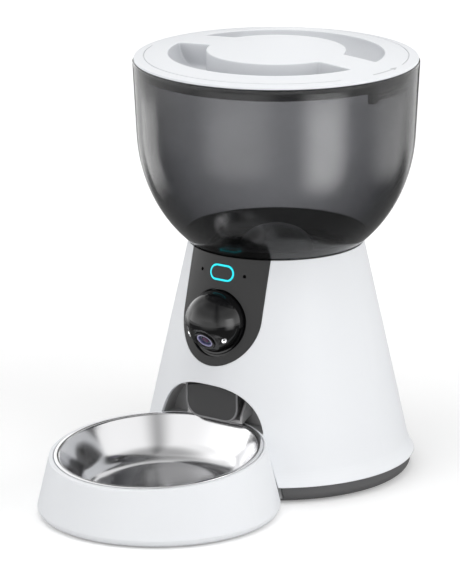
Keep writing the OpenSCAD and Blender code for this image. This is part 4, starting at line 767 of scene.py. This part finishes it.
# profiles of radius and height turned about the lens's axis, or about a lamp's to either side of it
def makeLens(s):
    def turned(profile, steps, out, side=0.0):
        verts, faces = revolve(np.array(profile, float) * mm, steps, closeProfile=False)
        return fromLens(s, verts, out, side), faces

    barrel = addObject("lensBarrel", [turned(s["barrel"], s["steps"], s["face"])], finishes["glossBlack"], 25)
    t = np.linspace(0, math.pi / 2, s["domeRows"])
    dome = np.stack([s["domeR"] * np.cos(t), s["domeLow"] + s["domeRise"] * np.sin(t)], -1)
    whole = s["rim"] + dome.tolist()
    glass = addObject("lensGlass", [turned(whole, s["steps"], s["face"])], finishes["coatedLens"], 50)
    cups, chips = [[turned(s[kind], s["lampSteps"], s["ballR"], side * s["lampSide"]) for side in (-1, 1)]
                   for kind in ("cup", "chip")]
    cupObj = addObject("lampCups", cups, finishes["lampCup"], 50)
    chipObj = addObject("lampChips", chips, finishes["glossBlack"], 50)
    for obj, slot, node in ((barrel, "black_gloss", "lens_barrel"), (glass, "lens_glass", "front_lens"),
                            (cupObj, "lamp_glass", "infrared_lamps"), (chipObj, "lamp_glass", None)):
        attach(obj, "head")
        if node:
            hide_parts(node)


finishes["coatedLens"] = coatedGlass("coatedLens", lensSet)
makeLens(lensSet)
print("lens made")

# raised rim along the sides and the lower edge of the outlet flap; its paler grey is a painted edge highlight
flapSet = {
    "y": -76.6, "halfW": 22.4, "lowZ": 51.4, "topZ": 75.5, "cornerR": 11.0, "cornerSteps": 24,
    "beadR": 0.75, "beadSquash": 0.6, "beadSteps": 16, "lift": 0.1,
}


# a flattened circle carried along the flap's outline: down the left side, round both corners, up the right
def makeFlapRim(s):
    c, n, depth = s["cornerR"], s["beadSteps"], s["beadR"] * s["beadSquash"]
    w, low = s["halfW"] - depth, s["lowZ"] + depth
    left = arc((-w + c, low + c), c, 180, 270, s["cornerSteps"])
    right = arc((w - c, low + c), c, 270, 360, s["cornerSteps"])
    path = np.concatenate([[[-w, s["topZ"]]], left, right, [[w, s["topZ"]]]])
    ahead = np.gradient(path, axis=0)
    ahead /= np.linalg.norm(ahead, axis=1)[:, None]
    across = np.stack([ahead[:, 1], -ahead[:, 0]], -1)
    t = np.linspace(0, 2 * math.pi, n, endpoint=False)
    ring = s["beadR"] * np.cos(t)
    xz = path[:, None] + across[:, None] * ring[None, :, None]
    y = s["y"] + s["lift"] + depth * np.sin(t) + 0 * xz[..., 0]
    verts, faces = gridMesh(np.stack([xz[..., 0], y, xz[..., 1]], -1) * mm, False, True)
    second = np.arange(1, n - 1, 2)   # each end is filled with quads that meet in the ring's first point
    quads = np.stack([0 * second, second, second + 1, (second + 2) % n], -1)
    faces = np.concatenate([faces, quads, quads + (len(path) - 1) * n])
    obj = addObject("flapRim", [(verts, faces)], finishes["rimHighlightGrey"], 60)
    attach(obj, "flap")


makeFlapRim(flapSet)
print("flap rim made")

# lit ring of the front panel, and near-black cups in its two holes as painted shade
panelSet = {
    "z": 155.5, "r": 64.78, "lean": 12.48, "ringL": 20.4, "ringH": 11.4, "stroke": 1.2, "round": 0.12,
    "proud": 0.1, "ringDeep": 1.7, "turnSteps": 25, "holeX": 18.3, "holeR": 1.19, "holeWall": 0.12,
    "holeDeep": 1.6, "holeSink": 0.03, "holeSteps": 32,
}


# points of a frame that stands on the leaning cone at the button: across, up the slope and out of it;
# the height is counted from the cone's surface, which falls away to both sides
def onPanel(s, points):
    x, y = points[..., 0], points[..., 1]
    lean = math.radians(s["lean"])
    out = points[..., 2] - (s["r"] - np.sqrt(s["r"] ** 2 - x ** 2)) * math.cos(lean)
    return np.stack([x, y * math.sin(lean) - out * math.cos(lean) - s["r"],
                     y * math.cos(lean) + out * math.sin(lean) + s["z"]], -1) * mm


# the ring is a small rounded profile carried round a pill outline; each hole is a thin black cup turned about
# its axis
def makePanel(s):
    straight, n = (s["ringL"] - s["ringH"]) / 2, s["turnSteps"]
    turn = np.radians(np.concatenate([np.linspace(-90, 90, n), np.linspace(90, 270, n)]))
    middle = np.repeat([straight, -straight], n)
    r, w, e, top = s["ringH"] / 2, s["stroke"], s["round"], s["proud"]
    profile = np.array([(r, -s["ringDeep"]), (r, top - e), (r - e, top), (r - w + e, top), (r - w, top - e),
                        (r - w, -s["ringDeep"])])
    reach, height = profile[:, 0][:, None], profile[:, 1][:, None]
    points = np.stack([middle + reach * np.cos(turn), reach * np.sin(turn), height + 0 * turn], -1)
    ring = addObject("lightRing", [gridMesh(onPanel(s, points), True, True)], finishes["cyanGlow"])
    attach(ring, "base")
    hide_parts("button_light_ring")
    # painted shade: the cups are near black so that the holes read dark
    hole, wall, deep, sink = s["holeR"], s["holeWall"], s["holeDeep"], s["holeSink"]
    cup = np.array([(0, -deep), (hole, -deep), (hole, -sink), (hole - wall, -sink),
                    (hole - wall, wall - deep), (0, wall - deep)])
    cups = []
    for side in (-1, 1):
        verts, faces = revolve(cup, s["holeSteps"])
        cups.append((onPanel(s, verts + (side * s["holeX"], 0, 0)), faces))
    holes = addObject("panelHoles", cups, finishes["holeShadeBlack"])
    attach(holes, "base")


makePanel(panelSet)
print("panel details made")

# studio: pale floor, white behind the object, a dark room before it with soft boxes, soft lamps
studioSet = {
    "floor": 8.0, "floorColour": (0.8, 0.8, 0.8), "floorRough": 0.9, "floorShine": (0.26, 0.42),
    "shineFrom": 0.22, "shineTo": 0.7, "farFrom": 0.9, "farTo": 3.0, "farShine": 0.4,
    "worldLight": 0.58, "backHeading": 216.3, "backEdge": (-0.15, 0.75), "roomDark": 0.45,
    "ceilingEdge": (0.70, 0.97), "ceilingDark": 0.42, "lowEdge": (0.1, 0.62), "lowBright": 2.2,
    "boxes": [   # heading, inner and outer half angle, strength, as mirrors see them
        (-30, 40, 68, 0.75), (98, 36, 64, 0.75),
    ],
    # four low reflectors and two black flags: heading, distance, half width, height, strength, soft edge
    "cards": [
        (71, 0.30, 0.125, 0.237, 5.4, 0.85), (6, 0.40, 0.30, 0.21, 1.9, 0.85),
        (-79, 0.35, 0.11, 0.207, 2.2, 0.45), (135, 0.40, 0.22, 0.198, 2.0, 0.8),
        (-128, 0.36, 0.11, 0.40, 0.0, 0.3), (196, 0.36, 0.11, 0.40, 0.0, 0.3),
    ],
    "cardLift": 0.002, "cardTop": 0.88, "cardFoot": 0.6,   # shares of the height where a card's fades lie
    "mat": {"heading": 36, "distance": 0.35, "half": (1.1, 1.05), "lift": 0.001, "soft": 0.3, "level": 0.22},
    "lamps": [
        {"name": "leftBox", "heading": -30, "height": 1.1, "distance": 2.4, "size": (1.4, 1.8), "power": 11},
        {"name": "rightBox", "heading": 84, "height": 1.1, "distance": 2.4, "size": (1.4, 1.8), "power": 22},
        {"name": "topBox", "heading": 20, "height": 2.6, "distance": 0.5, "size": (1.6, 1.6), "power": 20},
    ],
    "lampAim": (0, -0.04, 0.15),
}
# corners of a sheet, as shares of its half sizes
square = ((-1, -1), (1, -1), (1, 1), (-1, 1))


def flatSheet(name, corners):
    mesh = bpy.data.meshes.new(name)
    mesh.from_pydata(corners, [], [(0, 1, 2, 3)])
    return newObject(name, mesh)


# a plain floor, and for rays that see it a shine that grows with the distance from the object
def makeFloor(s):
    half = s["floor"] / 2
    floor = flatSheet("paleFloor", [(x * half, y * half, 0) for x, y in square])
    mat, tree, shader = newMaterial("paleFloor")
    setInputs(shader, {"Base Color": (*s["floorColour"], 1), "Roughness": s["floorRough"],
                       "Specular IOR Level": 0.0})
    reach = vectorNode(tree, "LENGTH", coordsOf(tree))
    near = ramp(tree, reach, s["shineFrom"], s["shineTo"], *s["floorShine"])
    far = ramp(tree, reach, s["farFrom"], s["farTo"], 0.0, s["farShine"])   # lamps fade out there
    shine = tree.nodes.new("ShaderNodeEmission")
    tree.links.new(mathNode(tree, "ADD", near, far), shine.inputs["Strength"])
    path = tree.nodes.new("ShaderNodeLightPath").outputs
    seen = mathNode(tree, "MAXIMUM", path["Is Camera Ray"], path["Is Glossy Ray"])
    seen = mathNode(tree, "MAXIMUM", seen, path["Is Transmission Ray"])
    add = tree.nodes.new("ShaderNodeAddShader")
    tree.links.new(shader.outputs[0], add.inputs[0])
    tree.links.new(shine.outputs[0], add.inputs[1])
    showMix(tree, seen, shader, add)
    floor.data.materials.append(mat)


# the surround: white where it is seen or looked through, an even level where it lights, and for mirrors a
# wall that is white behind the object, dark before it, with soft boxes at given headings, brighter low down
def makeSurround(s):
    world = bpy.data.worlds.new("whiteRoom")
    bpy.context.scene.world = world
    world.use_nodes = True
    tree = world.node_tree
    back = tree.nodes["Background"]
    back.inputs["Color"].default_value = (1, 1, 1, 1)
    coords = coordsOf(tree, "Generated")
    height = splitAxes(tree, coords)["Z"]
    level = vectorNode(tree, "NORMALIZE", vectorNode(tree, "MULTIPLY", coords, (1, 1, 0)))

    def toward(heading):   # cosine of the angle to a heading
        return vectorNode(tree, "DOT_PRODUCT", level, (*around(heading, 1), 0))

    mirror = ramp(tree, toward(s["backHeading"]), *s["backEdge"], s["roomDark"], 1.0)
    for heading, inner, outer, strength in s["boxes"]:
        edges = [math.cos(math.radians(angle)) for angle in (outer, inner)]
        mirror = mathNode(tree, "ADD", mirror, ramp(tree, toward(heading), *edges, 0, strength))
    for edge, low, high in ((s["ceilingEdge"], 1.0, s["ceilingDark"]), (s["lowEdge"], s["lowBright"], 1.0)):
        mirror = mathNode(tree, "MULTIPLY", mirror, ramp(tree, height, *edge, low, high))
    path = tree.nodes.new("ShaderNodeLightPath").outputs
    seen = mathNode(tree, "MAXIMUM", path["Is Camera Ray"], path["Is Transmission Ray"])
    value = mathNode(tree, "MULTIPLY", mirror, path["Is Glossy Ray"])
    other = mathNode(tree, "SUBTRACT", 1.0, path["Is Glossy Ray"])
    even = mathNode(tree, "MULTIPLY", other, s["worldLight"])
    value = mathNode(tree, "MAXIMUM", mathNode(tree, "ADD", value, even), seen)
    tree.links.new(value, back.inputs["Strength"])


# a sheet that only mirrors see: it glows where the product of its fades is 1 and is clear where that is 0;
# a fade is an axis and an eased ramp along it
def forMirrors(sheet, strength, fades):
    sheet.visible_camera = sheet.visible_diffuse = sheet.visible_transmission = sheet.visible_shadow = False
    mat, tree, shader = newMaterial(sheet.name)
    tree.nodes.remove(shader)
    axes = splitAxes(tree, coordsOf(tree))
    cover = 1.0
    for axis, *span in fades:
        fade = ramp(tree, mathNode(tree, "ABSOLUTE", axes[axis], 0.0), *span)
        cover = mathNode(tree, "MULTIPLY", fade, cover)
    light = tree.nodes.new("ShaderNodeEmission")
    light.inputs["Strength"].default_value = strength
    showMix(tree, cover, tree.nodes.new("ShaderNodeBsdfTransparent"), light)
    sheet.data.materials.append(mat)


# low soft reflectors and black flags, faded at their foot, top and sides
def makeCards(s):
    for k, (heading, distance, half, height, strength, soft) in enumerate(s["cards"]):
        card = flatSheet("softCard%d" % k, [(x * half, 0, (y + 1) / 2 * height) for x, y in square])
        card.location = (*around(heading, distance), s["cardLift"])
        card.rotation_euler = (0, 0, math.radians(heading))
        forMirrors(card, strength, [("Z", 0.0, height * s["cardFoot"], 0.0, 1.0),
                                    ("Z", height * s["cardTop"], height, 1.0, 0.0),
                                    ("X", half * (1 - soft), half, 1.0, 0.0)])


# a dark cloth on the floor before the object, faded at its sides
def makeMat(s):
    halfX, halfY = s["half"]
    sheet = flatSheet("blackMat", [(x * halfX, y * halfY, 0) for x, y in square])
    sheet.location = (*around(s["heading"], s["distance"]), s["lift"])
    sheet.rotation_euler = (0, 0, math.radians(s["heading"]))
    forMirrors(sheet, s["level"], [(axis, half * (1 - s["soft"]), half, 1.0, 0.0)
                                   for axis, half in (("X", halfX), ("Y", halfY))])


# area lamps at a heading and a height, each turned so that it faces the aim
def makeLamps(s):
    for lamp in s["lamps"]:
        data = bpy.data.lights.new(lamp["name"], "AREA")
        data.shape = "RECTANGLE"
        data.size, data.size_y = lamp["size"]
        data.energy = lamp["power"]
        obj = newObject(lamp["name"], data)
        place = np.array([*around(lamp["heading"], lamp["distance"]), lamp["height"]])
        aim = np.array(s["lampAim"]) - place
        obj.location = place
        obj.rotation_euler = (math.atan2(math.hypot(aim[0], aim[1]), -aim[2]), 0, math.atan2(-aim[0], aim[1]))
        obj.visible_glossy = False   # mirrors see the soft boxes of the surround instead


makeFloor(studioSet)
makeSurround(studioSet)
makeCards(studioSet)
makeMat(studioSet["mat"])
makeLamps(studioSet)
print("studio lit")
